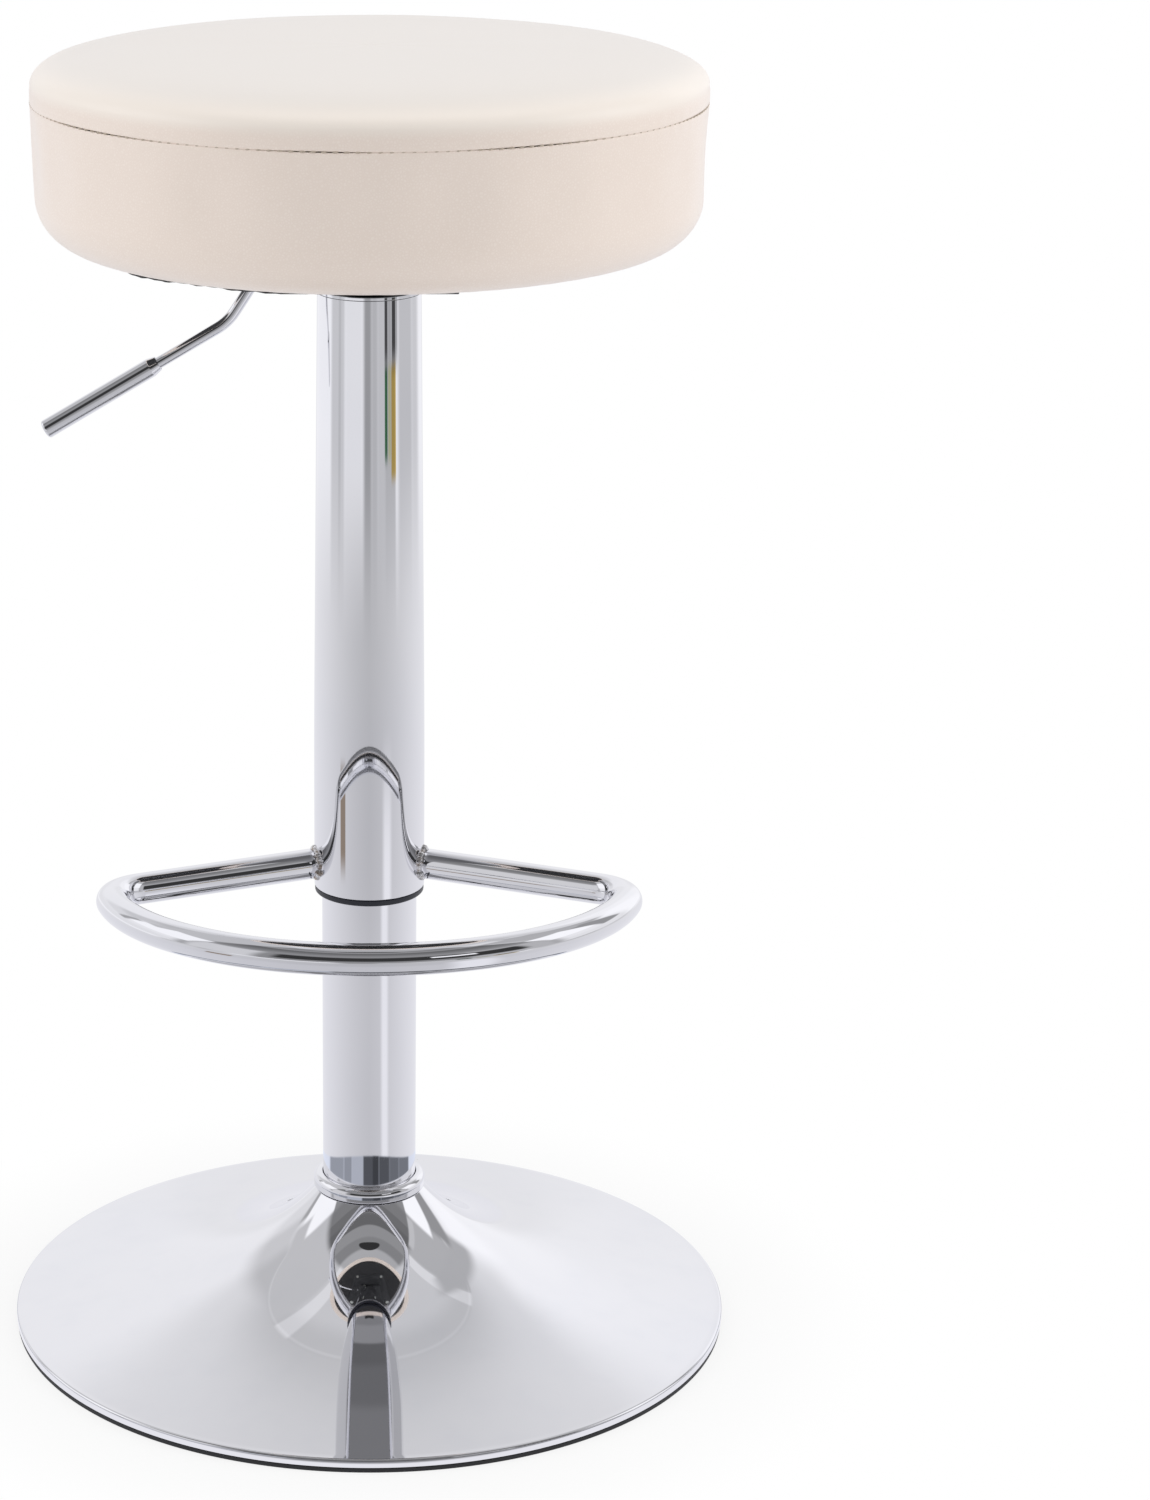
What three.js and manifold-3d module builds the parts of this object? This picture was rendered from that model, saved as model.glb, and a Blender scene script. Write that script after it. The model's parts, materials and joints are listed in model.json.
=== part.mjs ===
// A height-adjustable diner counter stool: a trumpet base, a gas lift inside two telescoping
// chromed tubes, a D-shaped footrest, a release lever and a round padded seat.
// Millimetres, +Z up, origin on the floor on the column's axis, sitter's side towards -Y.
import * as THREE from 'three';
import { mergeVertices } from 'three/addons/utils/BufferGeometryUtils.js';
import Module from 'manifold-3d';

const wasm = await Module();
wasm.setup();

// Fits and cuts
const clearance = 0.3;          // between pieces that seat on or in each other
const slideClearance = 0.35;    // between the lower tube and the bush that slides on it
const cutOverrun = 4;           // how far a cut runs past the faces it goes through

// Base
const baseRadius = 192.5;
const shellWall = 1.2;
const rimHeight = 4.8;          // upright band round the shell's edge
const rimRound = 1.5;
const flareRise = 65.5;         // from the rim's top up to the neck
const flareLength = 35.3;       // radial distance over which the flare falls to a third
const plateRise = 26;           // of the shallow cone under the flare, from the rim in to the neck
const neckGap = 4;              // from the lower tube out to the neck
const footHeight = 2.4;         // rubber edge ring
const footWidth = 9;
const footInset = 1.3;
const footLipWidth = 2.2;
const footLipHeight = 2.6;
const weightThickness = 6;
const socketWall = 3.7;
const socketHeight = 47;
const flangeThickness = 4;
const flangeWidth = 18;
const socketLip = 3;            // ledge in the socket that the lower tube stands on
const screwRadius = 3;
const screwHeadRadius = 6;
const screwHeadHeight = 3;
const collarHeight = 8.2;
const collarOverhang = 1;
const collarRound = 4;

// Lower tube and what stands in it
const lowerTubeRadius = 25;
const lowerTubeWall = 1.5;
const lowerTubeLength = 360;
const tubeFloor = 3;
const bearingRadius = 11;
const bearingWasher = 1.5;
const ballRadius = 1.8;
const cageThickness = 1.6;
const cageMargin = 0.8;         // from the bearing washers' edges in to the cage's edges
const bufferRadius = 10.5;
const bufferHeight = 12;
const guideLength = 80;         // plastic guide in the lower tube's mouth
const guideLand = 15;           // length of each of its two tight bores
const guideRelief = 3.5;
const guideFlange = 2.4;
const guideFlangeInset = 0.2;

// Piston rod
const rodRadius = 5;
const rodNeckRadius = 4;
const rodGrooveRadius = 3.2;
const rodTail = 3;              // end of the rod below its clip
const clipThickness = 1.5;
const clipRadius = 8;
const pistonHeight = 12;
const pistonBore = 9;
const sealGroove = 1.2;

// Gas cylinder
const cylinderRadius = 14;
const cylinderWall = 1.5;
const cylinderLength = 370.7;
const cylinderTaper = 0.8;      // how much narrower its top end is
const cylinderHead = 8;         // solid end round the valve
const cylinderRise = 0.7;       // above the hub
const rodGuideHeight = 12;
const upStroke = 60;            // left above the photographed height
const strokeMargin = 4;
const valveRadius = 2.8;
const valveFoot = 1.4;          // how far the valve's foot stands out round it
const valveFootHeight = 2.5;
const valveTail = 4;
const valveDome = 0.9;

// Upper tube, its bush and its cap
const tubeRestHeight = 246.5;   // bottom edge of the upper tube as photographed
const upperTubeLength = 316.9;
const upperTubeWall = 1;
const upperTubeStraight = 78.5; // cylindrical part below the taper
const upperTubeTopGap = 0.5;    // round the lower tube at the narrow end
const bushWall = 2.35;
const bushLength = 30;
const bushLip = 3.2;
const bushLipInset = 0.25;
const capFlange = 2;
const capSpigot = 8;

// Footrest
const footrestRadius = 134;     // of the front bar's centre line
const footrestForward = 54.6;   // from the column's axis to the centre of that curve
const footrestTube = 8;
const footrestWall = 1.5;
const footrestBend = 25.5;
const footrestHeight = 12.3;    // of its plane above the upper tube's bottom edge, at the column's axis
const footrestTiltDegrees = 4.65;  // rise of that plane towards the front
const armOrigin = 10.7;         // behind the column's axis, where both arms' lines meet
const armSweepDegrees = 30;

// Seat bracket and hub
const bracketWall = 2.5;
const bracketLength = 90;
const bracketRound = 3;
const bracketCut = 14;          // corner taken off each end of its side walls
const hubWall = 4.7;
const hubLength = 38;
const hubRise = 1.5;            // above the bracket's web
const hubMargin = 1.2;          // between the hub's hole and the side walls
const hubChamfer = 1.5;
const plateSize = 150;
const plateThickness = 2.5;
const plateCorner = 14;
const plateWindow = 26;         // half the width of the opening in the plate
const boltPitch = 120;
const boltRadius = 3;
const boltHeadRadius = 5.7;
const boltHeadHeight = 4;
const washerRadius = 6.2;
const washerThickness = 1.2;
const nutBarrelRadius = 4.2;
const nutBarrelLength = 9;
const nutFlangeRadius = 9.5;
const nutFlange = 1.2;

// Release lever
const pivotOffset = 20;         // from the valve's axis to the pivot pin
const pivotHeadroom = 8.9;      // from the pivot's axis up to the bracket's top
const pivotPinRadius = 3;
const pivotPinHead = 2;
const pivotPinHeadRadius = 5;
const pivotPinTail = 1.5;
const pivotGrooveRadius = 2.4;
const pivotClip = 1;
const pivotClipRadius = 5.4;
const sleeveRadius = 6;
const sleeveGap = 2;            // between the lever's sleeve and the hub below it
const leverRod = 3;
const leverReach = 32;          // level run from the pivot
const leverDrop = 36;           // steep run
const leverArm = 109.5;         // shallow run, to the end of the grip
const leverSteepDegrees = 57;
const leverShallowDegrees = 30.8;
const leverBend = 11;
const tongueWidth = 10;
const tongueThickness = 5;
const tongueTip = 6;            // past the valve's axis
const gripLength = 68;
const gripRadius = 4.9;
const gripEnd = 3;
const gripRound = 1.2;

// Seat
const cushionRadius = 168.9;
const cushionDraw = 1.5;        // how far the side draws in towards the bottom
const cushionCorner = 23;
const seamHeight = 69.9;        // all four heights are above the cushion's underside
const edgeHeight = 76.8;
const crownHeight = 19.5;
const coverThickness = 1.2;
const seamAllowance = 7;
const coverTuck = 16;           // cover turned under the board
const dustThickness = 0.8;
const dustInset = 1;
const dustHem = 4;              // folded edge, twice as thick
const boardThickness = 12;

// Shares of a length or radius
const flareShares = [0, 0.025, 0.06, 0.11, 0.175, 0.26, 0.37, 0.53, 0.74, 1];
const nestShares = [0, 0.14, 0.34, 0.62, 1];
const crownShares = [0.07, 0.17, 0.3, 0.45, 0.64, 0.84, 1];
const crownOutShare = 2 / 5.2;  // how full the crown is towards its rim
const crownUpShare = 2 / 2.58;  // how square its shoulder is

// Facets round a full turn
const seatSides = 36;
const baseSides = 40;
const tubeSides = 28;
const smallSides = 16;
const fastenerSides = 12;
const ballSides = 6;
const hexSides = 6;
const cornerSteps = 3;
const cushionSteps = 6;
const footrestSides = 12;
const footrestBoreSides = 6;
const footrestBendSteps = 6;
const footrestFrontSteps = 20;
const leverSides = 12;
const leverBendSteps = 5;
const ballCount = 8;
const screwCount = 4;
const flareHalvings = 30;

const radians = THREE.MathUtils.degToRad;
const quarter = Math.PI / 2;

// Finishes
const finish = (color, roughness, metalness) => ({ color, roughness, metalness });
const chrome = finish(0xd9dade, 0.06, 1);
const steel = finish(0x9a9ca0, 0.35, 1);
const zinc = finish(0xb4b6b2, 0.4, 1);
const iron = finish(0x2b2b2d, 0.7, 0.4);
const enamel = finish(0x131315, 0.3, 0.1);
const rubber = finish(0x17181a, 0.8, 0);
const plastic = finish(0x1d1f24, 0.5, 0);
const leather = finish(0xe6ddd2, 0.55, 0);
const foam = finish(0xe9dfb8, 0.95, 0);
const plywood = finish(0xb08b5a, 0.75, 0);
const cloth = finish(0x1f1f21, 0.95, 0);

function addPiece(group, name, geometry, look) {
  const mesh = new THREE.Mesh(geometry, new THREE.MeshStandardMaterial(look));
  mesh.name = name;
  group.add(mesh);
  return mesh;
}

// A body turned about Z from [radius, height] points, which close on themselves
function turned(points, sides) {
  const outline = points.map(([radius, height]) => new THREE.Vector2(radius, height));
  if (THREE.ShapeUtils.isClockWise(outline)) {
    outline.reverse();
  }
  outline.push(outline[0].clone());
  const geometry = new THREE.LatheGeometry(outline, sides);
  geometry.rotateX(quarter);
  return geometry;
}

// A ring or tube of plain rectangular section
function ring(inner, outer, bottom, top, sides) {
  return turned([[inner, bottom], [outer, bottom], [outer, top], [inner, top]], sides);
}

// A rod or disc on the axis
function disc(radius, bottom, top, sides) {
  return turned([[0, bottom], [radius, bottom], [radius, top], [0, top]], sides);
}

// Joined and cut bodies: geometry to solid and back
function solid(geometry) {
  const bare = geometry.index ? geometry.toNonIndexed() : geometry.clone();
  bare.deleteAttribute('normal');
  bare.deleteAttribute('uv');
  const merged = mergeVertices(bare);
  const corners = merged.index.array;
  const triVerts = [];
  for (let i = 0; i < corners.length; i += 3) {
    const [a, b, c] = corners.slice(i, i + 3);
    if (a !== b && b !== c && c !== a) {
      triVerts.push(a, b, c);
    }
  }
  return new wasm.Manifold(new wasm.Mesh({
    numProp: 3,
    vertProperties: new Float32Array(merged.attributes.position.array),
    triVerts: new Uint32Array(triVerts),
  }));
}

function shaped(body) {
  const mesh = body.getMesh();
  const geometry = new THREE.BufferGeometry();
  geometry.setAttribute('position', new THREE.BufferAttribute(mesh.vertProperties, 3));
  geometry.setIndex(new THREE.BufferAttribute(mesh.triVerts, 1));
  geometry.computeVertexNormals();
  return geometry;
}

const joined = (geometries) => shaped(geometries.map(solid).reduce((whole, part) => whole.add(part)));

function cut(geometry, cutters) {
  return shaped(cutters.map(solid).reduce((whole, part) => whole.subtract(part), solid(geometry)));
}

// A round cutter or bar that lies along Y, centred on the given x and z
function crossBar(radius, halfLength, x, z, sides) {
  const geometry = disc(radius, -halfLength, halfLength, sides);
  geometry.rotateX(quarter);
  geometry.translate(x, 0, z);
  return geometry;
}

function circle(radius, sides) {
  const points = Array.from({ length: sides }, (_, i) => {
    const angle = (2 * Math.PI * i) / sides;
    return new THREE.Vector2(radius * Math.cos(angle), radius * Math.sin(angle));
  });
  return new THREE.Shape(points);
}

// A line of joined curves, each cut into steps of its own, so that straight runs stay plain
class SteppedLine extends THREE.Curve {
  constructor(runs) {
    super();
    this.runs = runs;
    this.steps = runs.reduce((sum, run) => sum + run.steps, 0);
  }

  getPoint(share, target = new THREE.Vector3()) {
    let place = share * this.steps;
    let index = 0;
    while (index < this.runs.length - 1 && place > this.runs[index].steps) {
      place -= this.runs[index].steps;
      index += 1;
    }
    const { curve, steps } = this.runs[index];
    return target.copy(curve.getPoint(place / steps));
  }

  getUtoTmapping(share) {
    return share;
  }
}

// An arc in the XY plane
class FlatArc extends THREE.Curve {
  constructor(center, radius, from, to) {
    super();
    Object.assign(this, { center, radius, from, to });
  }

  getPoint(share, target = new THREE.Vector3()) {
    const angle = this.from + (this.to - this.from) * share;
    const across = this.radius * Math.cos(angle);
    const along = this.radius * Math.sin(angle);
    return target.set(this.center.x + across, this.center.y + along, this.center.z);
  }
}

function swept(line, radius, sides) {
  return new THREE.ExtrudeGeometry(circle(radius, sides), {
    steps: line.steps,
    extrudePath: line,
    bevelEnabled: false,
  });
}

// Base shell: a shallow cone, from which the flare rises to the neck as an exponential curve
const neckRadius = lowerTubeRadius + neckGap;
const flareEdge = baseRadius - rimRound;
const rimBottom = footHeight + clearance;
const rimTop = rimBottom + rimHeight;
const neckTop = rimTop + flareRise;
const flareSpan = flareEdge - neckRadius;
const flareEnd = Math.exp(-flareSpan / flareLength);
const flareDrop = (flareRise - plateRise) / (1 - flareEnd);

// The flare at a radius, moved in from the outer face by a depth
function flarePoint(radius, depth) {
  const fall = Math.exp(-(radius - neckRadius) / flareLength);
  const plate = (plateRise * (flareEdge - radius)) / flareSpan;
  const height = rimTop + plate + flareDrop * (fall - flareEnd);
  const slope = plateRise / flareSpan + (flareDrop * fall) / flareLength;
  const normal = new THREE.Vector2(slope, 1).normalize();
  return [radius - depth * normal.x, height - depth * normal.y];
}

// The radius at which the flare's outer face has come down to a height, by halving its span
function flareRadius(height) {
  let inner = neckRadius;
  let outer = flareEdge;
  for (let step = 0; step < flareHalvings; step += 1) {
    const middle = (inner + outer) / 2;
    const [, found] = flarePoint(middle, 0);
    if (found > height) {
      inner = middle;
    } else {
      outer = middle;
    }
  }
  return outer;
}

function flareLine(depth, shares = flareShares, from = neckRadius, to = flareEdge) {
  return shares.map((share) => flarePoint(from + (to - from) * share, depth));
}

function makeBaseShell() {
  const rimMiddle = rimTop - rimRound;
  const rim = [1, 2].map((step) => {
    const angle = quarter * (1 - step / 2);
    return [flareEdge + rimRound * Math.cos(angle), rimMiddle + rimRound * Math.sin(angle)];
  });
  const inner = flareLine(shellWall).reverse();
  return turned([
    ...flareLine(0),
    ...rim,
    [baseRadius, rimBottom],
    [baseRadius - shellWall, rimBottom],
    [baseRadius - shellWall, rimMiddle],
    ...inner,
  ], baseSides);
}

function makeFootRing() {
  const outer = baseRadius - footInset;
  const lipOuter = baseRadius - shellWall - clearance;
  const lipInner = lipOuter - footLipWidth;
  return turned([
    [outer - footWidth, 0],
    [outer, 0],
    [outer, footHeight],
    [lipOuter, footHeight],
    [lipOuter, footHeight + footLipHeight],
    [lipInner, footHeight + footLipHeight],
    [lipInner, footHeight],
    [outer - footWidth, footHeight],
  ], baseSides);
}

// Cast weight: flat below, nested under the flare above
const weightBottom = footHeight + clearance;
const weightTop = weightBottom + weightThickness;
const socketRadius = lowerTubeRadius + clearance + socketWall;
const socketLipRadius = lowerTubeRadius - socketLip;
const flangeRadius = socketRadius + flangeWidth;
const screwPitch = socketRadius + flangeWidth / 2;
const socketBottom = weightTop + clearance;

// The same small body at each screw
function atScrews(make) {
  return Array.from({ length: screwCount }, (_, i) => {
    const angle = (2 * Math.PI * (i + 1 / 2)) / screwCount;
    return make().translate(screwPitch * Math.cos(angle), screwPitch * Math.sin(angle), 0);
  });
}

function makeWeight() {
  const outer = baseRadius - shellWall - clearance - footLipWidth - clearance;
  const depth = shellWall + clearance;
  const nestStart = flareRadius(weightTop + depth);
  const nested = flareLine(depth, nestShares, nestStart, outer).filter(([, height]) => height < weightTop);
  const headCut = () => turned([
    [0, weightBottom - cutOverrun],
    [screwHeadRadius + clearance, weightBottom - cutOverrun],
    [screwHeadRadius + clearance, weightBottom + clearance],
    [screwRadius + clearance, weightBottom + clearance + screwHeadHeight],
    [screwRadius + clearance, weightTop + cutOverrun],
    [0, weightTop + cutOverrun],
  ], fastenerSides);
  const casting = turned([
    [socketLipRadius, weightBottom],
    [outer, weightBottom],
    ...nested.reverse(),
    [nestStart, weightTop],
    [socketLipRadius, weightTop],
  ], baseSides);
  return cut(casting, atScrews(headCut));
}

function makeSocket() {
  const bore = lowerTubeRadius + clearance;
  const flangeTop = socketBottom + flangeThickness;
  const body = turned([
    [socketLipRadius, socketBottom],
    [flangeRadius, socketBottom],
    [flangeRadius, flangeTop],
    [socketRadius, flangeTop],
    [socketRadius, socketBottom + socketHeight],
    [bore, socketBottom + socketHeight],
    [bore, socketBottom + socketLip],
    [socketLipRadius, socketBottom + socketLip],
  ], tubeSides);
  const hole = () => disc(
    screwRadius + clearance, socketBottom - cutOverrun, flangeTop + cutOverrun, fastenerSides);
  return cut(body, atScrews(hole));
}

function makeScrew() {
  const bottom = weightBottom + clearance;
  const top = socketBottom + flangeThickness;
  return turned([
    [0, bottom],
    [screwHeadRadius, bottom],
    [screwRadius, bottom + screwHeadHeight],
    [screwRadius, top],
    [0, top],
  ], fastenerSides);
}

function makeCollar() {
  const inner = lowerTubeRadius + clearance;
  const outer = neckRadius + collarOverhang;
  const bottom = neckTop + clearance;
  const top = bottom + collarHeight;
  const shoulder = Array.from({ length: cornerSteps + 1 }, (_, i) => {
    const angle = (quarter * i) / cornerSteps;
    return [
      outer - collarRound + collarRound * Math.cos(angle),
      top - collarRound + collarRound * Math.sin(angle),
    ];
  });
  return turned([
    [inner, bottom],
    [outer - collarOverhang, bottom],
    [outer, bottom + collarOverhang],
    ...shoulder,
    [inner, top],
  ], tubeSides);
}

// Lower tube: open at the top, floor below with a hole for the rod
const lowerTubeBottom = socketBottom + socketLip + clearance;
const lowerTubeTop = lowerTubeBottom + lowerTubeLength;
const lowerTubeBore = lowerTubeRadius - lowerTubeWall;
const floorTop = lowerTubeBottom + tubeFloor;
const neckBore = rodNeckRadius + clearance;

function makeLowerTube() {
  return turned([
    [neckBore, lowerTubeBottom],
    [lowerTubeRadius, lowerTubeBottom],
    [lowerTubeRadius, lowerTubeTop],
    [lowerTubeBore, lowerTubeTop],
    [lowerTubeBore, floorTop],
    [neckBore, floorTop],
  ], tubeSides);
}

// Thrust bearing on the floor: washer, balls in a cage, washer
const lowWasherBottom = floorTop + clearance;
const ballCenter = lowWasherBottom + bearingWasher + clearance + ballRadius;
const highWasherBottom = ballCenter + ballRadius + clearance;
const shoulderHeight = highWasherBottom + bearingWasher + clearance;

function makeBearingWasher(bottom) {
  return ring(neckBore, bearingRadius, bottom, bottom + bearingWasher, smallSides);
}

function makeBallCage() {
  const inner = neckBore + cageMargin;
  const outer = bearingRadius - cageMargin;
  const half = cageThickness / 2;
  const pitch = (inner + outer) / 2;
  const balls = Array.from({ length: ballCount }, (_, i) => {
    const angle = (2 * Math.PI * i) / ballCount;
    const ball = new THREE.SphereGeometry(ballRadius, ballSides, ballSides / 2 + 1);
    ball.rotateX(quarter);
    return ball.translate(pitch * Math.cos(angle), pitch * Math.sin(angle), ballCenter);
  });
  return joined([ring(inner, outer, ballCenter - half, ballCenter + half, smallSides), ...balls]);
}

// Guide in the tube's mouth: two tight lands with a relieved middle
function makeGuide() {
  const outer = lowerTubeBore - clearance;
  const bore = cylinderRadius + clearance;
  const relief = bore + guideRelief;
  const bottom = lowerTubeTop - guideLength;
  const seat = lowerTubeTop + clearance;
  const top = seat + guideFlange;
  const flange = lowerTubeRadius - guideFlangeInset;
  return turned([
    [bore, bottom],
    [outer, bottom],
    [outer, seat],
    [flange, seat],
    [flange, top],
    [bore, top],
    [bore, top - guideLand],
    [relief, top - guideLand - guideRelief],
    [relief, bottom + guideLand + guideRelief],
    [bore, bottom + guideLand],
  ], tubeSides);
}

// Heights on the seat's side of the lift, from the upper tube's bottom edge
const capBottom = upperTubeLength + clearance;
const webBottom = capBottom + capFlange + clearance;
const webTop = webBottom + bracketWall;
const hubTop = webTop + hubRise;
const hubBottom = hubTop - hubLength;
const pivotHeight = hubTop + sleeveGap + sleeveRadius;
const bracketTop = pivotHeight + pivotHeadroom;
const plateBottom = bracketTop + clearance;
const plateTop = plateBottom + plateThickness;
const dustBottom = plateTop + clearance;
const cushionBottom = dustBottom + dustThickness + clearance;
const boardBottom = coverThickness + clearance;
const boardTop = boardBottom + boardThickness;
const cylinderTop = hubTop + cylinderRise;
const cylinderBottom = cylinderTop - cylinderLength;
const cylinderBore = cylinderRadius - cylinderWall;
const pistonBottom = cylinderBottom + rodGuideHeight + upStroke + strokeMargin;

function makeRod() {
  const clipTop = lowerTubeBottom - clearance;
  const clipBottom = clipTop - clipThickness;
  const grooveBottom = clipBottom - clearance;
  const top = tubeRestHeight + pistonBottom + pistonBore - clearance;
  const step = tubeRestHeight + pistonBottom - clearance;
  return turned([
    [0, grooveBottom - rodTail],
    [rodNeckRadius, grooveBottom - rodTail],
    [rodNeckRadius, grooveBottom],
    [rodGrooveRadius, grooveBottom],
    [rodGrooveRadius, lowerTubeBottom],
    [rodNeckRadius, lowerTubeBottom],
    [rodNeckRadius, shoulderHeight],
    [rodRadius, shoulderHeight],
    [rodRadius, step],
    [rodNeckRadius, step],
    [rodNeckRadius, top],
    [0, top],
  ], smallSides);
}

function makeRodClip() {
  const top = lowerTubeBottom - clearance;
  return ring(rodGrooveRadius + clearance, clipRadius, top - clipThickness, top, smallSides);
}

function makeBuffer() {
  const inner = rodRadius + clearance;
  const waist = (inner + bufferRadius) / 2;
  const middle = shoulderHeight + bufferHeight / 2;
  return turned([
    [inner, shoulderHeight],
    [bufferRadius, shoulderHeight],
    [waist, middle],
    [bufferRadius, shoulderHeight + bufferHeight],
    [inner, shoulderHeight + bufferHeight],
  ], smallSides);
}

// Piston: blind bore for the rod's end, and a groove for its seal
function makePiston() {
  const outer = cylinderBore - clearance;
  const bottom = tubeRestHeight + pistonBottom;
  const middle = bottom + pistonHeight / 2;
  return turned([
    [neckBore, bottom],
    [outer, bottom],
    [outer, middle - sealGroove],
    [outer - sealGroove, middle - sealGroove],
    [outer - sealGroove, middle + sealGroove],
    [outer, middle + sealGroove],
    [outer, bottom + pistonHeight],
    [0, bottom + pistonHeight],
    [0, bottom + pistonBore],
    [neckBore, bottom + pistonBore],
  ], smallSides);
}

function makeCylinder() {
  const narrow = cylinderRadius - cylinderTaper;
  const valveHole = valveRadius + clearance;
  return turned([
    [cylinderBore, cylinderBottom],
    [cylinderRadius, cylinderBottom],
    [cylinderRadius, hubBottom],
    [narrow, cylinderTop],
    [valveHole, cylinderTop],
    [valveHole, cylinderTop - cylinderHead],
    [cylinderBore - cylinderTaper, cylinderTop - cylinderHead],
    [cylinderBore - cylinderTaper, hubBottom],
    [cylinderBore, hubBottom - cylinderTaper],
  ], tubeSides);
}

function makeRodGuide() {
  return ring(
    rodRadius + clearance, cylinderBore - clearance,
    cylinderBottom, cylinderBottom + rodGuideHeight, smallSides);
}

// Valve pin: domed end under the lever's tongue, wider foot inside the cylinder
function makeValvePin() {
  const top = pivotHeight - leverRod - clearance;
  const footTop = cylinderTop - cylinderHead - clearance;
  const bottom = footTop - valveFootHeight - valveTail;
  return turned([
    [0, bottom],
    [valveRadius, bottom],
    [valveRadius, footTop - valveFootHeight],
    [valveRadius + valveFoot, footTop - valveFootHeight],
    [valveRadius + valveFoot, footTop],
    [valveRadius, footTop],
    [valveRadius, top - valveDome],
    [valveRadius / 2, top - valveDome / 4],
    [0, top],
  ], fastenerSides);
}

// Upper tube: straight where the footrest is welded on, then a long taper
const upperBore = lowerTubeRadius + slideClearance + bushWall + clearance;
const upperRadius = upperBore + upperTubeWall;
const upperTopBore = lowerTubeRadius + upperTubeTopGap;

function makeUpperTube() {
  return turned([
    [upperBore, 0],
    [upperRadius, 0],
    [upperRadius, upperTubeStraight],
    [upperTopBore + upperTubeWall, upperTubeLength],
    [upperTopBore, upperTubeLength],
    [upperBore, upperTubeStraight],
  ], tubeSides);
}

function makeBush() {
  const inner = lowerTubeRadius + slideClearance;
  const outer = inner + bushWall;
  const lip = upperRadius - bushLipInset;
  return turned([
    [inner, -clearance - bushLip],
    [lip, -clearance - bushLip],
    [lip, -clearance],
    [outer, -clearance],
    [outer, bushLength],
    [inner, bushLength],
  ], tubeSides);
}

const hubRadius = cylinderRadius + clearance + hubWall;

function makeCap() {
  const inner = hubRadius + clearance;
  const spigot = upperTopBore - clearance;
  const flange = upperTopBore + upperTubeWall;
  return turned([
    [inner, capBottom - capSpigot],
    [spigot, capBottom - capSpigot],
    [spigot, capBottom],
    [flange, capBottom],
    [flange, capBottom + capFlange],
    [inner, capBottom + capFlange],
  ], tubeSides);
}

function makeHub() {
  const wide = cylinderRadius + clearance;
  const narrow = wide - cylinderTaper * (hubLength / (hubLength + cylinderRise));
  return turned([
    [wide, hubBottom],
    [hubRadius - hubChamfer, hubBottom],
    [hubRadius, hubBottom + hubChamfer],
    [hubRadius, hubTop],
    [narrow, hubTop],
  ], tubeSides);
}

// Footrest: one bent tube in its own plane, out along an arm, round the front and back along the
// other arm
function makeFootrestLine(extra) {
  const sweep = radians(armSweepDegrees);
  const bendReach = footrestRadius - footrestBend;
  // The bend's centre lies one bend radius in front of the arm's line, and inside the front bar
  const armNormal = new THREE.Vector2(Math.sin(sweep), Math.cos(sweep));
  const armAlong = new THREE.Vector2(Math.cos(sweep), -Math.sin(sweep));
  const frontCenter = new THREE.Vector2(0, -footrestForward);
  const lineDistance = armOrigin * Math.cos(sweep) - footrestBend;
  const offLine = lineDistance - frontCenter.dot(armNormal);
  const alongDistance = frontCenter.dot(armAlong) + Math.sqrt(bendReach ** 2 - offLine ** 2);
  const bendCenter = armNormal.clone().multiplyScalar(lineDistance)
    .addScaledVector(armAlong, alongDistance);
  const bendPlace = bendCenter.clone().sub(frontCenter);
  const joinAngle = Math.atan2(bendPlace.y, bendPlace.x);
  const armAngle = quarter - sweep;
  const armEnd = bendCenter.clone().addScaledVector(armNormal, footrestBend);
  const armStart = armEnd.clone().addScaledVector(armAlong, -alongDistance - extra);
  const place = (point, side) => new THREE.Vector3(side * point.x, point.y, 0);
  const bend = (side) => {
    const center = place(bendCenter, side);
    return side > 0
      ? new FlatArc(center, footrestBend, armAngle, joinAngle)
      : new FlatArc(center, footrestBend, -Math.PI - joinAngle, -Math.PI - armAngle);
  };
  const front = new FlatArc(place(frontCenter, 1), footrestRadius, joinAngle, -Math.PI - joinAngle);
  return new SteppedLine([
    { curve: new THREE.LineCurve3(place(armStart, 1), place(armEnd, 1)), steps: 1 },
    { curve: bend(1), steps: footrestBendSteps },
    { curve: front, steps: footrestFrontSteps },
    { curve: bend(-1), steps: footrestBendSteps },
    { curve: new THREE.LineCurve3(place(armEnd, -1), place(armStart, -1)), steps: 1 },
  ]);
}

function makeFootrest() {
  const outside = swept(makeFootrestLine(0), footrestTube, footrestSides);
  const bore = swept(makeFootrestLine(cutOverrun), footrestTube - footrestWall, footrestBoreSides);
  for (const tube of [outside, bore]) {
    tube.rotateX(-radians(footrestTiltDegrees));
    tube.translate(0, 0, footrestHeight);
  }
  const column = disc(
    upperRadius + clearance, footrestHeight - footrestTube - cutOverrun,
    footrestHeight + footrestTube + cutOverrun, tubeSides);
  return cut(outside, [bore, column]);
}

// Bracket: a folded channel across the column, open towards both ends
const channelHalf = hubRadius + clearance + hubMargin;
const bracketHalf = channelHalf + bracketWall;

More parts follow.
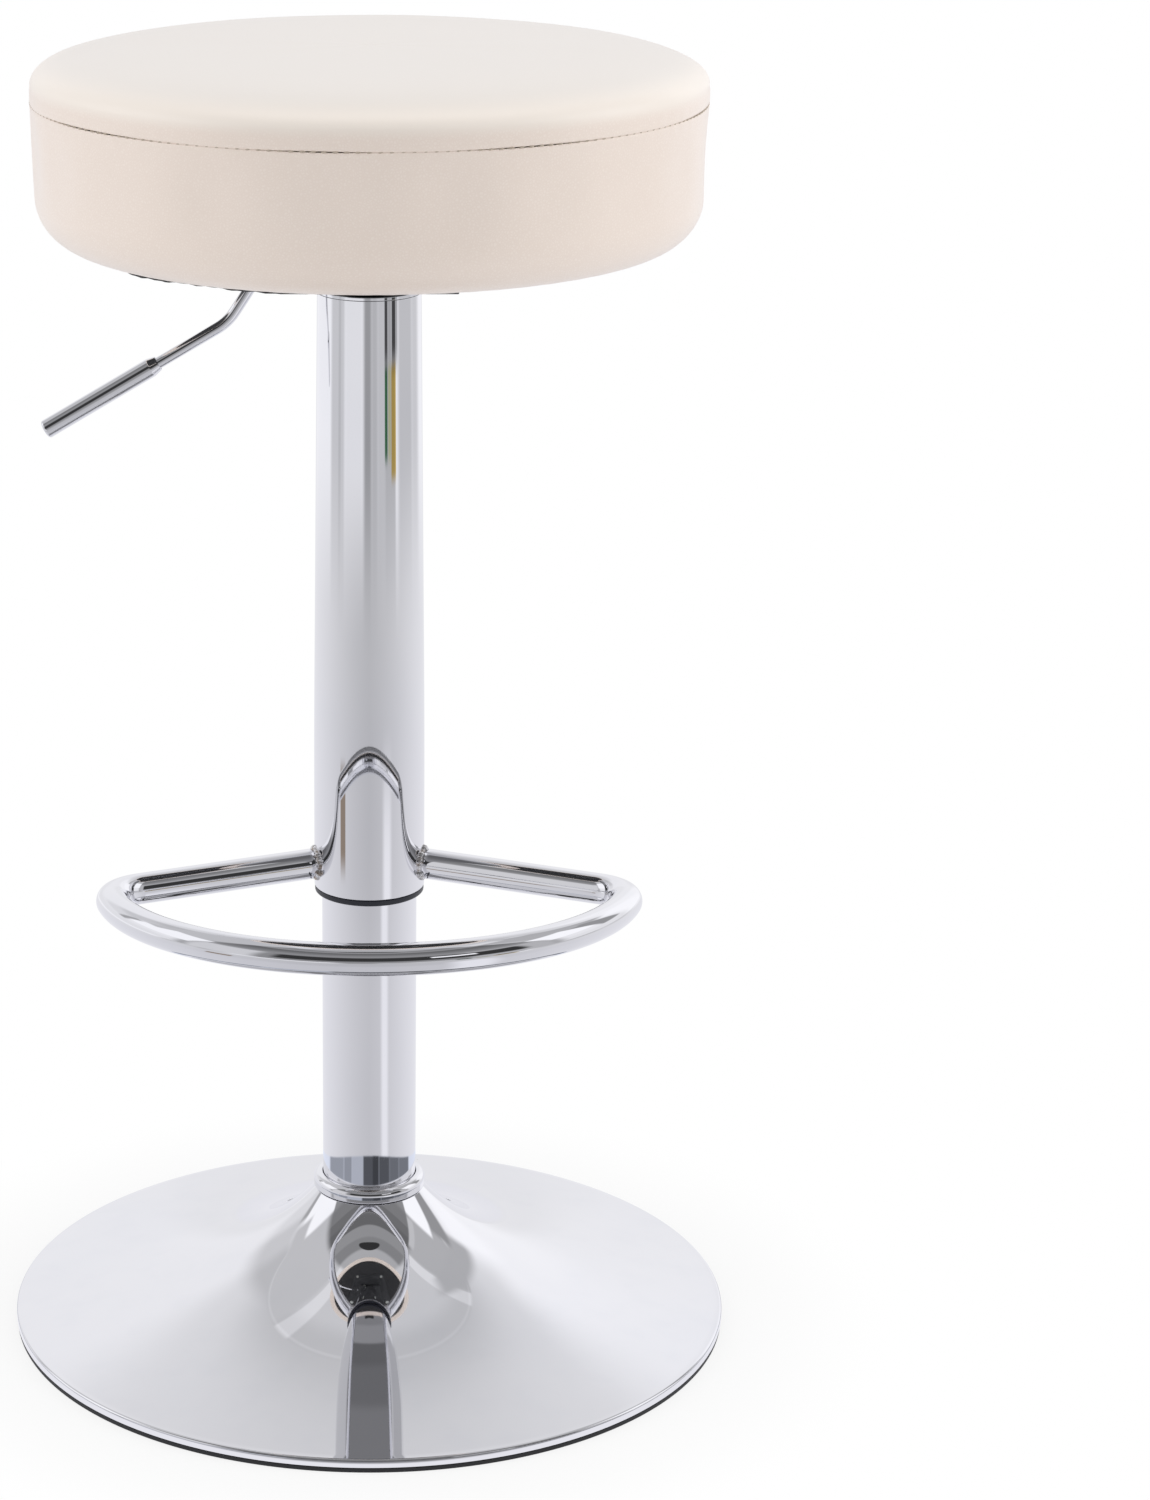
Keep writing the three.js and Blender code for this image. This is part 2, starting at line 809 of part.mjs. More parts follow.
function makeBracket() {
  const section = new THREE.Shape();
  const innerRound = bracketRound - bracketWall;
  section.moveTo(-bracketHalf, bracketTop);
  section.lineTo(-bracketHalf, webBottom + bracketRound);
  section.absarc(
    -bracketHalf + bracketRound, webBottom + bracketRound, bracketRound, Math.PI, Math.PI + quarter);
  section.lineTo(bracketHalf - bracketRound, webBottom);
  section.absarc(bracketHalf - bracketRound, webBottom + bracketRound, bracketRound, -quarter, 0);
  section.lineTo(bracketHalf, bracketTop);
  section.lineTo(channelHalf, bracketTop);
  section.lineTo(channelHalf, webTop + innerRound);
  section.lineTo(channelHalf - innerRound, webTop);
  section.lineTo(-channelHalf + innerRound, webTop);
  section.lineTo(-channelHalf, webTop + innerRound);
  section.lineTo(-channelHalf, bracketTop);
  const channel = new THREE.ExtrudeGeometry(section, {
    depth: bracketLength, steps: 1, bevelEnabled: false, curveSegments: cornerSteps,
  });
  channel.translate(0, 0, -bracketLength / 2);
  channel.rotateZ(quarter);
  channel.rotateY(quarter);
  const hubHole = disc(hubRadius + clearance, webBottom - cutOverrun, webTop + cutOverrun, tubeSides);
  const reach = bracketHalf + cutOverrun;
  const pinHole = crossBar(
    pivotPinRadius + clearance, reach, -pivotOffset, pivotHeight, fastenerSides);
  const endCuts = [1, -1].map((side) => {
    const corner = new THREE.Shape([
      new THREE.Vector2(bracketLength / 2 - bracketCut, webTop + innerRound),
      new THREE.Vector2(bracketLength / 2 + cutOverrun, webTop + innerRound),
      new THREE.Vector2(bracketLength / 2 + cutOverrun, bracketTop),
      new THREE.Vector2(bracketLength / 2, bracketTop),
    ]);
    const wedge = new THREE.ExtrudeGeometry(corner, {
      depth: 2 * reach, steps: 1, bevelEnabled: false,
    });
    wedge.rotateX(quarter);
    wedge.translate(0, reach, 0);
    return side > 0 ? wedge : wedge.rotateZ(Math.PI);
  });
  return cut(channel, [hubHole, pinHole, ...endCuts]);
}

// Pin across the bracket: head on one side, groove and clip on the other
function makePivotPin() {
  const wallFace = bracketHalf + clearance;
  const grooveEnd = wallFace + pivotClip + clearance;
  const pin = turned([
    [0, -wallFace - pivotPinHead],
    [pivotPinHeadRadius, -wallFace - pivotPinHead],
    [pivotPinHeadRadius, -wallFace],
    [pivotPinRadius, -wallFace],
    [pivotPinRadius, bracketHalf],
    [pivotGrooveRadius, bracketHalf],
    [pivotGrooveRadius, grooveEnd],
    [pivotPinRadius, grooveEnd],
    [pivotPinRadius, grooveEnd + pivotPinTail],
    [0, grooveEnd + pivotPinTail],
  ], fastenerSides);
  return pin.rotateX(-quarter);
}

function makePivotClip() {
  const face = bracketHalf + clearance;
  const clip = ring(
    pivotGrooveRadius + clearance, pivotClipRadius, face, face + pivotClip, fastenerSides);
  return clip.rotateX(-quarter);
}

// Corners of the bolt square
const boltPlaces = [[1, 1], [-1, 1], [-1, -1], [1, -1]]
  .map(([x, y]) => [(x * boltPitch) / 2, (y * boltPitch) / 2]);

function atBolts(make) {
  return boltPlaces.map(([x, y]) => make().translate(x, y, 0));
}

function roundedSquare(half, corner) {
  const shape = new THREE.Shape();
  const inner = half - corner;
  shape.absarc(inner, inner, corner, 0, quarter);
  shape.absarc(-inner, inner, corner, quarter, Math.PI);
  shape.absarc(-inner, -inner, corner, Math.PI, Math.PI + quarter);
  shape.absarc(inner, -inner, corner, -quarter, 0);
  return shape;
}

function makePlate() {
  const outline = roundedSquare(plateSize / 2, plateCorner);
  outline.holes.push(new THREE.Path().absarc(0, 0, plateWindow, 0, 2 * Math.PI, true));
  for (const [x, y] of boltPlaces) {
    outline.holes.push(new THREE.Path().absarc(x, y, boltRadius + clearance, 0, 2 * Math.PI, true));
  }
  const plate = new THREE.ExtrudeGeometry(outline, {
    depth: plateThickness, steps: 1, bevelEnabled: false, curveSegments: cornerSteps + 1,
  });
  return plate.translate(0, 0, plateBottom);
}

function makeBolt() {
  const headTop = plateBottom - clearance - washerThickness - clearance;
  const head = disc(boltHeadRadius, headTop - boltHeadHeight, headTop, hexSides);
  const end = cushionBottom + boardTop - nutFlange - clearance;
  const shank = disc(boltRadius, headTop - boltHeadHeight / 2, end, fastenerSides);
  return joined([head, shank]);
}

function makeWasher() {
  const top = plateBottom - clearance;
  return ring(boltRadius + clearance, washerRadius, top - washerThickness, top, fastenerSides);
}

// Nut pressed into the board from above, its flange let in flush
function makeNut() {
  const top = cushionBottom + boardTop;
  return turned([
    [boltRadius + clearance, top - nutFlange - nutBarrelLength],
    [nutBarrelRadius, top - nutFlange - nutBarrelLength],
    [nutBarrelRadius, top - nutFlange],
    [nutFlangeRadius, top - nutFlange],
    [nutFlangeRadius, top],
    [boltRadius + clearance, top],
  ], fastenerSides);
}

// Lever: a bent rod with a sleeve on the pivot pin and a flat tongue over the valve
const leverCorner = new THREE.Vector2(-leverReach, 0);
const steep = radians(leverSteepDegrees);
const shallow = radians(leverShallowDegrees);
const leverKnee = leverCorner.clone()
  .add(new THREE.Vector2(-Math.cos(steep), -Math.sin(steep)).multiplyScalar(leverDrop));
const armDirection = new THREE.Vector2(-Math.cos(shallow), -Math.sin(shallow));
const leverEnd = leverKnee.clone().addScaledVector(armDirection, leverArm);

// A bend between two runs in the XZ plane, as the points where it starts, turns and ends
function leverBendCurve(corner, before, after) {
  const turn = Math.abs(before.angleTo(after));
  const cutBack = leverBend * Math.tan(turn / 2);
  const start = corner.clone().addScaledVector(before, -cutBack);
  const end = corner.clone().addScaledVector(after, cutBack);
  const at = (point) => new THREE.Vector3(point.x, 0, point.y);
  return { start: at(start), end: at(end), curve: new THREE.QuadraticBezierCurve3(
    at(start), at(corner), at(end)) };
}

function makeLever() {
  const level = new THREE.Vector2(-1, 0);
  const drop = leverKnee.clone().sub(leverCorner).normalize();
  const first = leverBendCurve(leverCorner, level, drop);
  const second = leverBendCurve(leverKnee, drop, armDirection);
  const tip = leverEnd.clone().addScaledVector(armDirection, -gripEnd - clearance);
  const line = new SteppedLine([
    { curve: new THREE.LineCurve3(new THREE.Vector3(), first.start), steps: 1 },
    { curve: first.curve, steps: leverBendSteps },
    { curve: new THREE.LineCurve3(first.end, second.start), steps: 1 },
    { curve: second.curve, steps: leverBendSteps },
    { curve: new THREE.LineCurve3(second.end, new THREE.Vector3(tip.x, 0, tip.y)), steps: 1 },
  ]);
  const rod = swept(line, leverRod, leverSides);
  const sleeveHalf = channelHalf - clearance;
  const sleeve = crossBar(sleeveRadius, sleeveHalf, 0, 0, smallSides);
  const paddle = new THREE.Shape();
  const round = tongueWidth / 2;
  paddle.moveTo(0, -round);
  paddle.absarc(pivotOffset + tongueTip - round, 0, round, -quarter, quarter);
  paddle.lineTo(0, round);
  const tongue = new THREE.ExtrudeGeometry(paddle, {
    depth: tongueThickness, steps: 1, bevelEnabled: false, curveSegments: cornerSteps,
  });
  tongue.translate(0, 0, -leverRod);
  const bore = crossBar(
    pivotPinRadius + clearance, sleeveHalf + cutOverrun, 0, 0, fastenerSides);
  return cut(joined([rod, sleeve, tongue]), [bore]);
}

// Grip: a blind sleeve with a rounded end, its axis along its own Z
function makeGrip() {
  const bore = leverRod + clearance;
  const end = Array.from({ length: 3 }, (_, i) => {
    const angle = (quarter * i) / 2;
    return [
      gripRadius - gripRound + gripRound * Math.cos(angle),
      gripLength - gripRound + gripRound * Math.sin(angle),
    ];
  });
  return turned([
    [bore, 0],
    [gripRadius, 0],
    ...end,
    [0, gripLength],
    [0, gripLength - gripEnd],
    [bore, gripLength - gripEnd],
  ], smallSides);
}

// The cushion's outline, moved in by a depth; heights are from its underside
const cornerCenter = cushionRadius - cushionDraw - cushionCorner;

function cornerLine(depth, from, to, steps = cushionSteps) {
  const radius = cushionCorner - depth;
  const start = -Math.asin(Math.min(1, (cushionCorner - from) / radius));
  const end = -Math.asin((cushionCorner - to) / radius);
  return Array.from({ length: steps + 1 }, (_, i) => {
    const angle = start + ((end - start) * i) / steps;
    return [cornerCenter + radius * Math.cos(angle), cushionCorner + radius * Math.sin(angle)];
  });
}

function sideRadius(height, depth) {
  const share = Math.min(1, (height - cushionCorner) / (seamHeight - cushionCorner));
  return cushionRadius - cushionDraw * (1 - share) - depth;
}

// Crown: flat in the middle and rounding over at the rim
function crownLine(depth) {
  const line = crownShares.map((share) => {
    const angle = quarter * share;
    const out = Math.cos(angle);
    const up = Math.sin(angle);
    if (share === 1) {
      return [0, edgeHeight + crownHeight - depth];
    }
    const normal = new THREE.Vector2(
      crownHeight * crownUpShare * up ** (crownUpShare - 1) * out,
      cushionRadius * crownOutShare * out ** (crownOutShare - 1) * up,
    ).normalize();
    return [
      cushionRadius * out ** crownOutShare - depth * normal.x,
      edgeHeight + crownHeight * up ** crownUpShare - depth * normal.y,
    ];
  });
  return [[cushionRadius - depth, edgeHeight], ...line];
}

function makeCoverTop() {
  const seam = seamHeight + clearance / 2;
  return turned([
    [cushionRadius - seamAllowance, seam],
    [cushionRadius, seam],
    ...crownLine(0),
    ...crownLine(coverThickness).reverse(),
    [cushionRadius - coverThickness, seam + coverThickness],
    [cushionRadius - seamAllowance, seam + coverThickness],
  ], seatSides);
}

function makeCoverBand() {
  const seam = seamHeight - clearance / 2;
  const tuckEdge = cornerCenter - coverTuck;
  return turned([
    [tuckEdge, 0],
    ...cornerLine(0, 0, cushionCorner),
    [sideRadius(seam, 0), seam],
    [sideRadius(seam, seamAllowance), seam],
    [sideRadius(seam, seamAllowance), seam - coverThickness],
    [sideRadius(seam, coverThickness), seam - coverThickness],
    ...cornerLine(coverThickness, coverThickness, cushionCorner).reverse(),
    [tuckEdge, coverThickness],
  ], seatSides);
}

function makeBoard() {
  const depth = coverThickness + clearance;
  const board = turned([
    [0, boardBottom],
    ...cornerLine(depth, boardBottom, boardTop, cornerSteps),
    [0, boardTop],
  ], seatSides);
  const holes = atBolts(() => turned([
    [0, boardBottom - cutOverrun],
    [nutBarrelRadius + clearance, boardBottom - cutOverrun],
    [nutBarrelRadius + clearance, boardTop - nutFlange - clearance],
    [nutFlangeRadius + clearance, boardTop - nutFlange - clearance],
    [nutFlangeRadius + clearance, boardTop + cutOverrun],
    [0, boardTop + cutOverrun],
  ], fastenerSides));
  return cut(board, holes);
}

// Foam: fills the cover above the board, with a groove for the seam's turned-in edges
function makeFoam() {
  const depth = coverThickness + clearance;
  const bottom = boardTop + clearance;
  const grooveHalf = clearance / 2 + coverThickness + clearance;
  const grooveRadius = cushionRadius - seamAllowance - clearance;
  return turned([
    [0, bottom],
    ...cornerLine(depth, bottom, cushionCorner),
    [sideRadius(seamHeight - grooveHalf, depth), seamHeight - grooveHalf],
    [grooveRadius, seamHeight - grooveHalf],
    [grooveRadius, seamHeight + grooveHalf],
    [cushionRadius - depth, seamHeight + grooveHalf],
    ...crownLine(depth),
  ], seatSides);
}

// Dust cover: a sheet with a folded hem below its edge
function makeDustCover() {
  const radius = cornerCenter - dustInset;
  const sheet = turned([
    [0, dustBottom],
    [radius - dustHem, dustBottom],
    [radius - dustHem, dustBottom - dustThickness],
    [radius, dustBottom - dustThickness],
    [radius, dustBottom + dustThickness],
    [0, dustBottom + dustThickness],
  ], seatSides);
  const holes = atBolts(() => disc(
    boltRadius + 2 * clearance, dustBottom - cutOverrun, dustBottom + cutOverrun, fastenerSides));
  return cut(sheet, holes);
}

// Assembly
const stool = new THREE.Group();

addPiece(stool, 'base_shell', makeBaseShell(), chrome);
addPiece(stool, 'base_weight', makeWeight(), iron);
addPiece(stool, 'base_foot_ring', makeFootRing(), rubber);
addPiece(stool, 'base_socket', makeSocket(), steel);
atScrews(makeScrew).forEach((screw, i) => addPiece(stool, `socket_screw_${i + 1}`, screw, zinc));
addPiece(stool, 'collar', makeCollar(), chrome);
addPiece(stool, 'lower_tube', makeLowerTube(), chrome);
addPiece(stool, 'bearing_washer_lower', makeBearingWasher(lowWasherBottom), steel);
addPiece(stool, 'bearing_cage', makeBallCage(), steel);
addPiece(stool, 'cylinder_guide', makeGuide(), plastic);

const rod = new THREE.Group();
stool.add(rod);
addPiece(rod, 'piston_rod', makeRod(), chrome);
addPiece(rod, 'piston', makePiston(), steel);
addPiece(rod, 'rod_clip', makeRodClip(), steel);
addPiece(rod, 'bearing_washer_upper', makeBearingWasher(highWasherBottom), steel);
addPiece(rod, 'rod_buffer', makeBuffer(), rubber);

const seat = new THREE.Group();
seat.position.z = tubeRestHeight;
stool.add(seat);
addPiece(seat, 'gas_cylinder', makeCylinder(), enamel);
addPiece(seat, 'rod_guide', makeRodGuide(), plastic);
addPiece(seat, 'upper_tube', makeUpperTube(), chrome);
addPiece(seat, 'tube_bush', makeBush(), plastic);
addPiece(seat, 'tube_cap', makeCap(), steel);
addPiece(seat, 'footrest', makeFootrest(), chrome);
addPiece(seat, 'lift_hub', makeHub(), steel);
addPiece(seat, 'seat_bracket', makeBracket(), enamel);
addPiece(seat, 'seat_plate', makePlate(), enamel);
atBolts(makeBolt).forEach((bolt, i) => addPiece(seat, `seat_bolt_${i + 1}`, bolt, zinc));
atBolts(makeWasher).forEach((washer, i) => addPiece(seat, `bolt_washer_${i + 1}`, washer, zinc));
atBolts(makeNut).forEach((nut, i) => addPiece(seat, `board_nut_${i + 1}`, nut, zinc));
addPiece(seat, 'dust_cover', makeDustCover(), cloth);

const pivot = new THREE.Group();
pivot.position.set(-pivotOffset, 0, pivotHeight);
seat.add(pivot);
addPiece(pivot, 'pivot_pin', makePivotPin(), zinc);
addPiece(pivot, 'pivot_clip', makePivotClip(), zinc);
addPiece(pivot, 'release_lever', makeLever(), chrome);
const grip = addPiece(pivot, 'lever_grip', makeGrip(), chrome);
grip.position.set(
  leverEnd.x - armDirection.x * gripLength, 0, leverEnd.y - armDirection.y * gripLength);
grip.rotation.y = Math.atan2(armDirection.x, armDirection.y);
addPiece(seat, 'valve_pin', makeValvePin(), steel);

const cushion = new THREE.Group();
cushion.position.z = cushionBottom;
seat.add(cushion);
addPiece(cushion, 'seat_board', makeBoard(), plywood);
addPiece(cushion, 'seat_foam', makeFoam(), foam);
addPiece(cushion, 'seat_cover_band', makeCoverBand(), leather);
addPiece(cushion, 'seat_cover_top', makeCoverTop(), leather);

export default stool;
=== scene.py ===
import json
import math

import bmesh
import bpy
import numpy as np
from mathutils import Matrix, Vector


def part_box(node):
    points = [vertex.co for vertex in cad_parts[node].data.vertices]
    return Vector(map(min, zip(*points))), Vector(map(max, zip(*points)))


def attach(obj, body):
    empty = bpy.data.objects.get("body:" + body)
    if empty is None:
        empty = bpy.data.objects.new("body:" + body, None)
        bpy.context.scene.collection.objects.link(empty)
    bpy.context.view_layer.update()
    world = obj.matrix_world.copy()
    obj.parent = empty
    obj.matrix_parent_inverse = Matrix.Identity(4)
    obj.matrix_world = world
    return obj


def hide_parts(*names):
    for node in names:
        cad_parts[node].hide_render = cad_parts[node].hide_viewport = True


# Height-adjustable diner counter stool. Metres, +Z up, origin on the floor on the column's axis,
# the footrest towards -Y and the release lever towards -X.
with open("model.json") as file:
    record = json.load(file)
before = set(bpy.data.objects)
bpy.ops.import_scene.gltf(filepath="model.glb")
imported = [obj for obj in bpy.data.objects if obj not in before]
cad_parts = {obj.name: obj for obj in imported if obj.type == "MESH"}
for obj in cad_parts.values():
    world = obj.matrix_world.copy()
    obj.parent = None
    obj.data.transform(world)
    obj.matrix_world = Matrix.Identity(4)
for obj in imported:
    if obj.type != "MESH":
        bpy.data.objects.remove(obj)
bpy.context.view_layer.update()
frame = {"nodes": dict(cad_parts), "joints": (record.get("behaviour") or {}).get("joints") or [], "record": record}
nodes = frame["nodes"]
joints = {joint["name"]: joint for joint in frame["joints"]}
scene = bpy.context.scene
scene.view_settings.view_transform = "Standard"
fullTurn = 2 * math.pi
quarterTurn = math.pi / 2
seating = 0.0003  # gap that the frame leaves between pieces that touch
print("frame loaded with", len(nodes), "nodes")


def low(node):
    return np.array(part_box(node)[0])


def high(node):
    return np.array(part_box(node)[1])


def extent(node):
    # a round node's radius, bottom and top
    return high(node)[0], low(node)[2], high(node)[2]


def linked(name, data):
    made = bpy.data.objects.new(name, data)
    scene.collection.objects.link(made)
    return made


def newMesh(name, points, faces):
    mesh = bpy.data.meshes.new(name)
    mesh.from_pydata(points.tolist(), [], faces)
    return mesh


# Camera: the photograph's viewpoint, with the column left of the picture's middle
photo = {"width": 1150, "height": 1500, "axisColumn": 369.3, "focalPixels": 3967}
viewpoint = {"place": (0, -1.98, 0.955), "tiltDegrees": 17.78, "sensor": 36}


def makeCamera():
    data = bpy.data.cameras.new("photoCamera")
    data.sensor_width = viewpoint["sensor"]
    data.lens = photo["focalPixels"] / photo["height"] * viewpoint["sensor"]
    data.shift_x = (photo["width"] / 2 - photo["axisColumn"]) / photo["height"]
    camera = linked("photoCamera", data)
    camera.location = viewpoint["place"]
    camera.rotation_euler = (math.radians(90 - viewpoint["tiltDegrees"]), 0, 0)
    scene.camera = camera


makeCamera()
print("camera placed")


# Shader maths: an expression on values adds its Math nodes
class Value:
    def __init__(self, shader, socket):
        self.shader, self.socket = shader, socket

    def maths(self, operation, *values):
        return self.shader.node("ShaderNodeMath", {"operation": operation}, dict(enumerate(values)))

    def __add__(self, other):
        return self.maths("ADD", self, other)

    def __radd__(self, other):
        return self.maths("ADD", other, self)

    def __sub__(self, other):
        return self.maths("SUBTRACT", self, other)

    def __rsub__(self, other):
        return self.maths("SUBTRACT", other, self)

    def __mul__(self, other):
        return self.maths("MULTIPLY", self, other)

    def __rmul__(self, other):
        return self.maths("MULTIPLY", other, self)

    def __truediv__(self, other):
        return self.maths("DIVIDE", self, other)

    def __pow__(self, other):
        return self.maths("POWER", self, other)

    def __abs__(self):
        return self.maths("ABSOLUTE", self)

    def ramp(self, start, end):
        # 0 before start, 1 after end, smooth between
        settings = {"interpolation_type": "SMOOTHSTEP"}
        return self.shader.node("ShaderNodeMapRange", settings, {"Value": self, 1: start, 2: end})


class Shader:
    def __init__(self, tree):
        self.tree = tree
        tree.nodes.clear()

    def node(self, kind, settings=None, inputs=None, output=0):
        made = self.tree.nodes.new(kind)
        for name, value in (settings or {}).items():
            setattr(made, name, value)
        for name, value in (inputs or {}).items():
            if isinstance(value, Value):
                self.tree.links.new(value.socket, made.inputs[name])
            else:
                made.inputs[name].default_value = value
        if isinstance(output, tuple):
            return [Value(self, made.outputs[name]) for name in output]
        return Value(self, made.outputs[output]) if len(made.outputs) else None

    def place(self, stretch=(1, 1, 1)):
        place = self.node("ShaderNodeTexCoord", output="Object")
        return self.node("ShaderNodeMapping", {}, {"Vector": place, "Scale": stretch})

    def parts(self, vector):
        return self.node("ShaderNodeSeparateXYZ", {}, {0: vector}, ("X", "Y", "Z"))

    def noise(self, vector, scale, detail=2.0, roughness=0.5):
        values = {"Vector": vector, "Scale": scale, "Detail": detail, "Roughness": roughness}
        return self.node("ShaderNodeTexNoise", {}, values)

    def cells(self, vector, scale, feature="F1"):
        values = {"Vector": vector, "Scale": scale}
        return self.node("ShaderNodeTexVoronoi", {"feature": feature}, values, "Distance")

    def waves(self, vector, scale, kind, distortion):
        # bands or rings along Z
        settings = {"wave_type": kind.upper(), kind + "_direction": "Z"}
        values = {"Vector": vector, "Scale": scale, "Distortion": distortion, "Detail": 1}
        return self.node("ShaderNodeTexWave", settings, values, "Fac")

    def mix(self, factor, first, second):
        settings = {"data_type": "RGBA"}
        return self.node("ShaderNodeMix", settings, {0: factor, 6: first, 7: second}, 2)

    def blend(self, factor, first, second):
        # of two shadings
        return self.node("ShaderNodeMixShader", {}, {0: factor, 1: first, 2: second})

    def bump(self, height, distance):
        return self.node("ShaderNodeBump", {}, {"Height": height, "Distance": distance, "Strength": 1.0})

    def surface(self, shading):
        self.node("ShaderNodeOutputMaterial", {}, {"Surface": shading})


def tone(red, green, blue):
    # a colour given as it looks on screen, from 0 to 255, as linear light
    share = np.array([red, green, blue]) / 255
    linear = np.where(share <= 0.04045, share / 12.92, ((share + 0.055) / 1.055) ** 2.4)
    return (*linear.tolist(), 1)


def newMaterial(name):
    material = bpy.data.materials.new(name)
    material.use_nodes = True
    return material, Shader(material.node_tree)


# Finishes. A pattern is its kind, scale, detail, roughness, stretch and ramp. Roughness, metal and
# bump height are a base plus shares of the patterns, and each further colour lies over the last by its
# shares: value = base + sum of share x pattern
evenly = (1, 1, 1)
chromeLook = {
    # bright plate with the film that wiping leaves and a few specks of dust
    "patterns": {
        "film": ("noise", 7, 3, 0.5, evenly, (0.45, 0.8)),
        "wipes": ("noise", 60, 2, 0.5, (1, 1, 0.25), (0.4, 0.9)),
        "specks": ("cells", 13, 0, 0, evenly, (0.012, 0.0072)),
        "ripple": ("noise", 24, 1),
    },
    "colours": (
        tone(237, 237, 240), ({"film": 0.6, "wipes": 0.3}, tone(229, 230, 235)),
        ({"specks": 0.8}, tone(96, 92, 88)),
    ),
    "roughness": (0.02, {"film": 0.025, "specks": 0.5}), "metallic": (1, {}),
    "bump": (0.000008, {"ripple": 1}),
}
weldLook = {
    # plate over the grainy bead of a weld, browned where it has pitted
    "patterns": {"grain": ("noise", 900, 3, 0.6), "pits": ("noise", 315, 2, 0.5, evenly, (0.5, 0.66))},
    "colours": (tone(226, 225, 226), ({"pits": 0.8}, tone(158, 140, 122))),
    "roughness": (0.1, {"pits": 0.2}), "metallic": (1, {}), "bump": (0.00035, {"grain": 1}),
}
shadedThreadLook = {
    # the thread is the cover's cream darkened: painted shade of the seam's groove, over its own twist
    "patterns": {"twist": ("noise", 1500, 1, 0.5, (1, 1, 0.4))},
    "colours": (tone(150, 136, 120), ({"twist": 1}, tone(205, 192, 176))),
    "roughness": (0.6, {"twist": 0.3}), "sheen": 0.3, "bump": (0.0001, {"twist": 1}),
}
enamelLook = {
    # powder coat: orange peel, with dusty patches
    "patterns": {"peel": ("noise", 500), "dust": ("noise", 45, 5, 0.7, evenly, (0.48, 0.8))},
    "colours": (tone(30, 31, 33), ({"dust": 1}, tone(58, 58, 60))),
    "roughness": (0.33, {"dust": 0.25}), "bump": (0.00008, {"peel": 1}),
}
ironLook = {
    # sand casting, rusted in patches
    "patterns": {"sand": ("noise", 420, 4, 0.65), "rust": ("noise", 30, 5, 0.7, evenly, (0.52, 0.7))},
    "colours": (tone(74, 72, 71), ({"rust": 0.7}, tone(98, 76, 62))),
    "roughness": (0.62, {"rust": 0.25}), "metallic": (0.7, {"rust": -0.6}), "bump": (0.0005, {"sand": 1}),
}
nonwovenLook = {
    # matted fibres, welded in small spots
    "patterns": {
        "along": ("noise", 900, 3, 0.7, (1, 3.5, 1)), "across": ("noise", 900, 3, 0.7, (3.5, 1, 1)),
        "spots": ("cells", 620, 0, 0, evenly, (0.12, 0.3)),
    },
    "colours": (tone(20, 20, 22), ({"along": 0.3, "across": 0.3, "spots": 0.4}, tone(46, 46, 48))),
    "roughness": (0.8, {"along": 0.075, "across": 0.075}), "sheen": 0.25,
    "bump": (0.0002, {"along": 0.5, "across": 0.5, "spots": 1}),
}
plyThickness = 0.0015
plywoodLook = {
    "patterns": {
        "plies": ("bands", fullTurn / (40 * plyThickness), 0, 0, evenly, (0.35, 0.65)),
        "grain": ("noise", 30, 4, 0.6, (1, 14, 14)),
    },
    "colours": (tone(146, 106, 66), ({"plies": 0.5, "grain": 0.5}, tone(196, 160, 112))),
    "roughness": (0.7, {"grain": 0.2}), "bump": (0.0002, {"grain": 1}),
}
foamLook = {
    "patterns": {"pits": ("cells", 1300, 0, 0, evenly, (0.1, 0.5))},
    "colours": (tone(206, 188, 132), ({"pits": 1}, tone(238, 226, 178))),
    "roughness": (0.85, {"pits": 0.1}), "bump": (0.0006, {"pits": 1}),
}


def mouldedLook(dark, light, scale, roughness):
    # rubber and plastic: fine mould texture, and paler where it has rubbed
    return {
        "patterns": {"texture": ("noise", scale, 3), "rubbed": ("noise", 60, 4, 0.7, evenly, (0.5, 0.75))},
        "colours": (dark, ({"rubbed": 0.7, "texture": 0.3}, light)),
        "roughness": (roughness, {"rubbed": 0.15}), "bump": (0.00003, {"texture": 1}),
    }


def steelLook(metal, stain, ringScale, roughness):
    # turned or plated steel: fine tool marks round the axis, and stains
    return {
        "patterns": {
            "marks": ("rings", ringScale, 0.6), "grit": ("noise", 1800),
            "stains": ("noise", 70, 5, 0.65, evenly, (0.45, 0.75)),
        },
        "colours": (metal, ({"stains": 0.8, "grit": 0.2}, stain)), "metallic": (1, {}),
        "roughness": (roughness, {"stains": 0.2, "marks": 0.06}),
        "bump": (0.00002, {"marks": 0.5, "grit": 1}),
    }


def pattern(shader, kind, scale, detail=2.0, roughness=0.5, stretch=evenly, ramp=None):
    # for bands and rings the third number is their distortion
    place = shader.place(stretch)
    if kind == "noise":
        value = shader.noise(place, scale, detail, roughness)
    elif kind == "cells":
        value = shader.cells(place, scale)
    else:
        value = shader.waves(place, scale, kind, detail)
    return value.ramp(*ramp) if ramp else value


def makeFinish(name, look):
    material, shader = newMaterial(name)
    patterns = {key: pattern(shader, *settings) for key, settings in look["patterns"].items()}

    def summed(base, shares):
        return sum((patterns[key] * share for key, share in shares.items()), base)

    colour, *layers = look["colours"]
    for shares, over in layers:
        colour = shader.mix(summed(0, shares), colour, over)
    distance, shares = look["bump"]
    shader.surface(shader.node("ShaderNodeBsdfPrincipled", {}, {
        "Base Color": colour,
        "Metallic": summed(*look.get("metallic", (0, {}))),
        "Roughness": summed(*look["roughness"]),
        "Sheen Weight": look.get("sheen", 0),
        "Normal": shader.bump(summed(0, shares), distance),
    }))
    return material


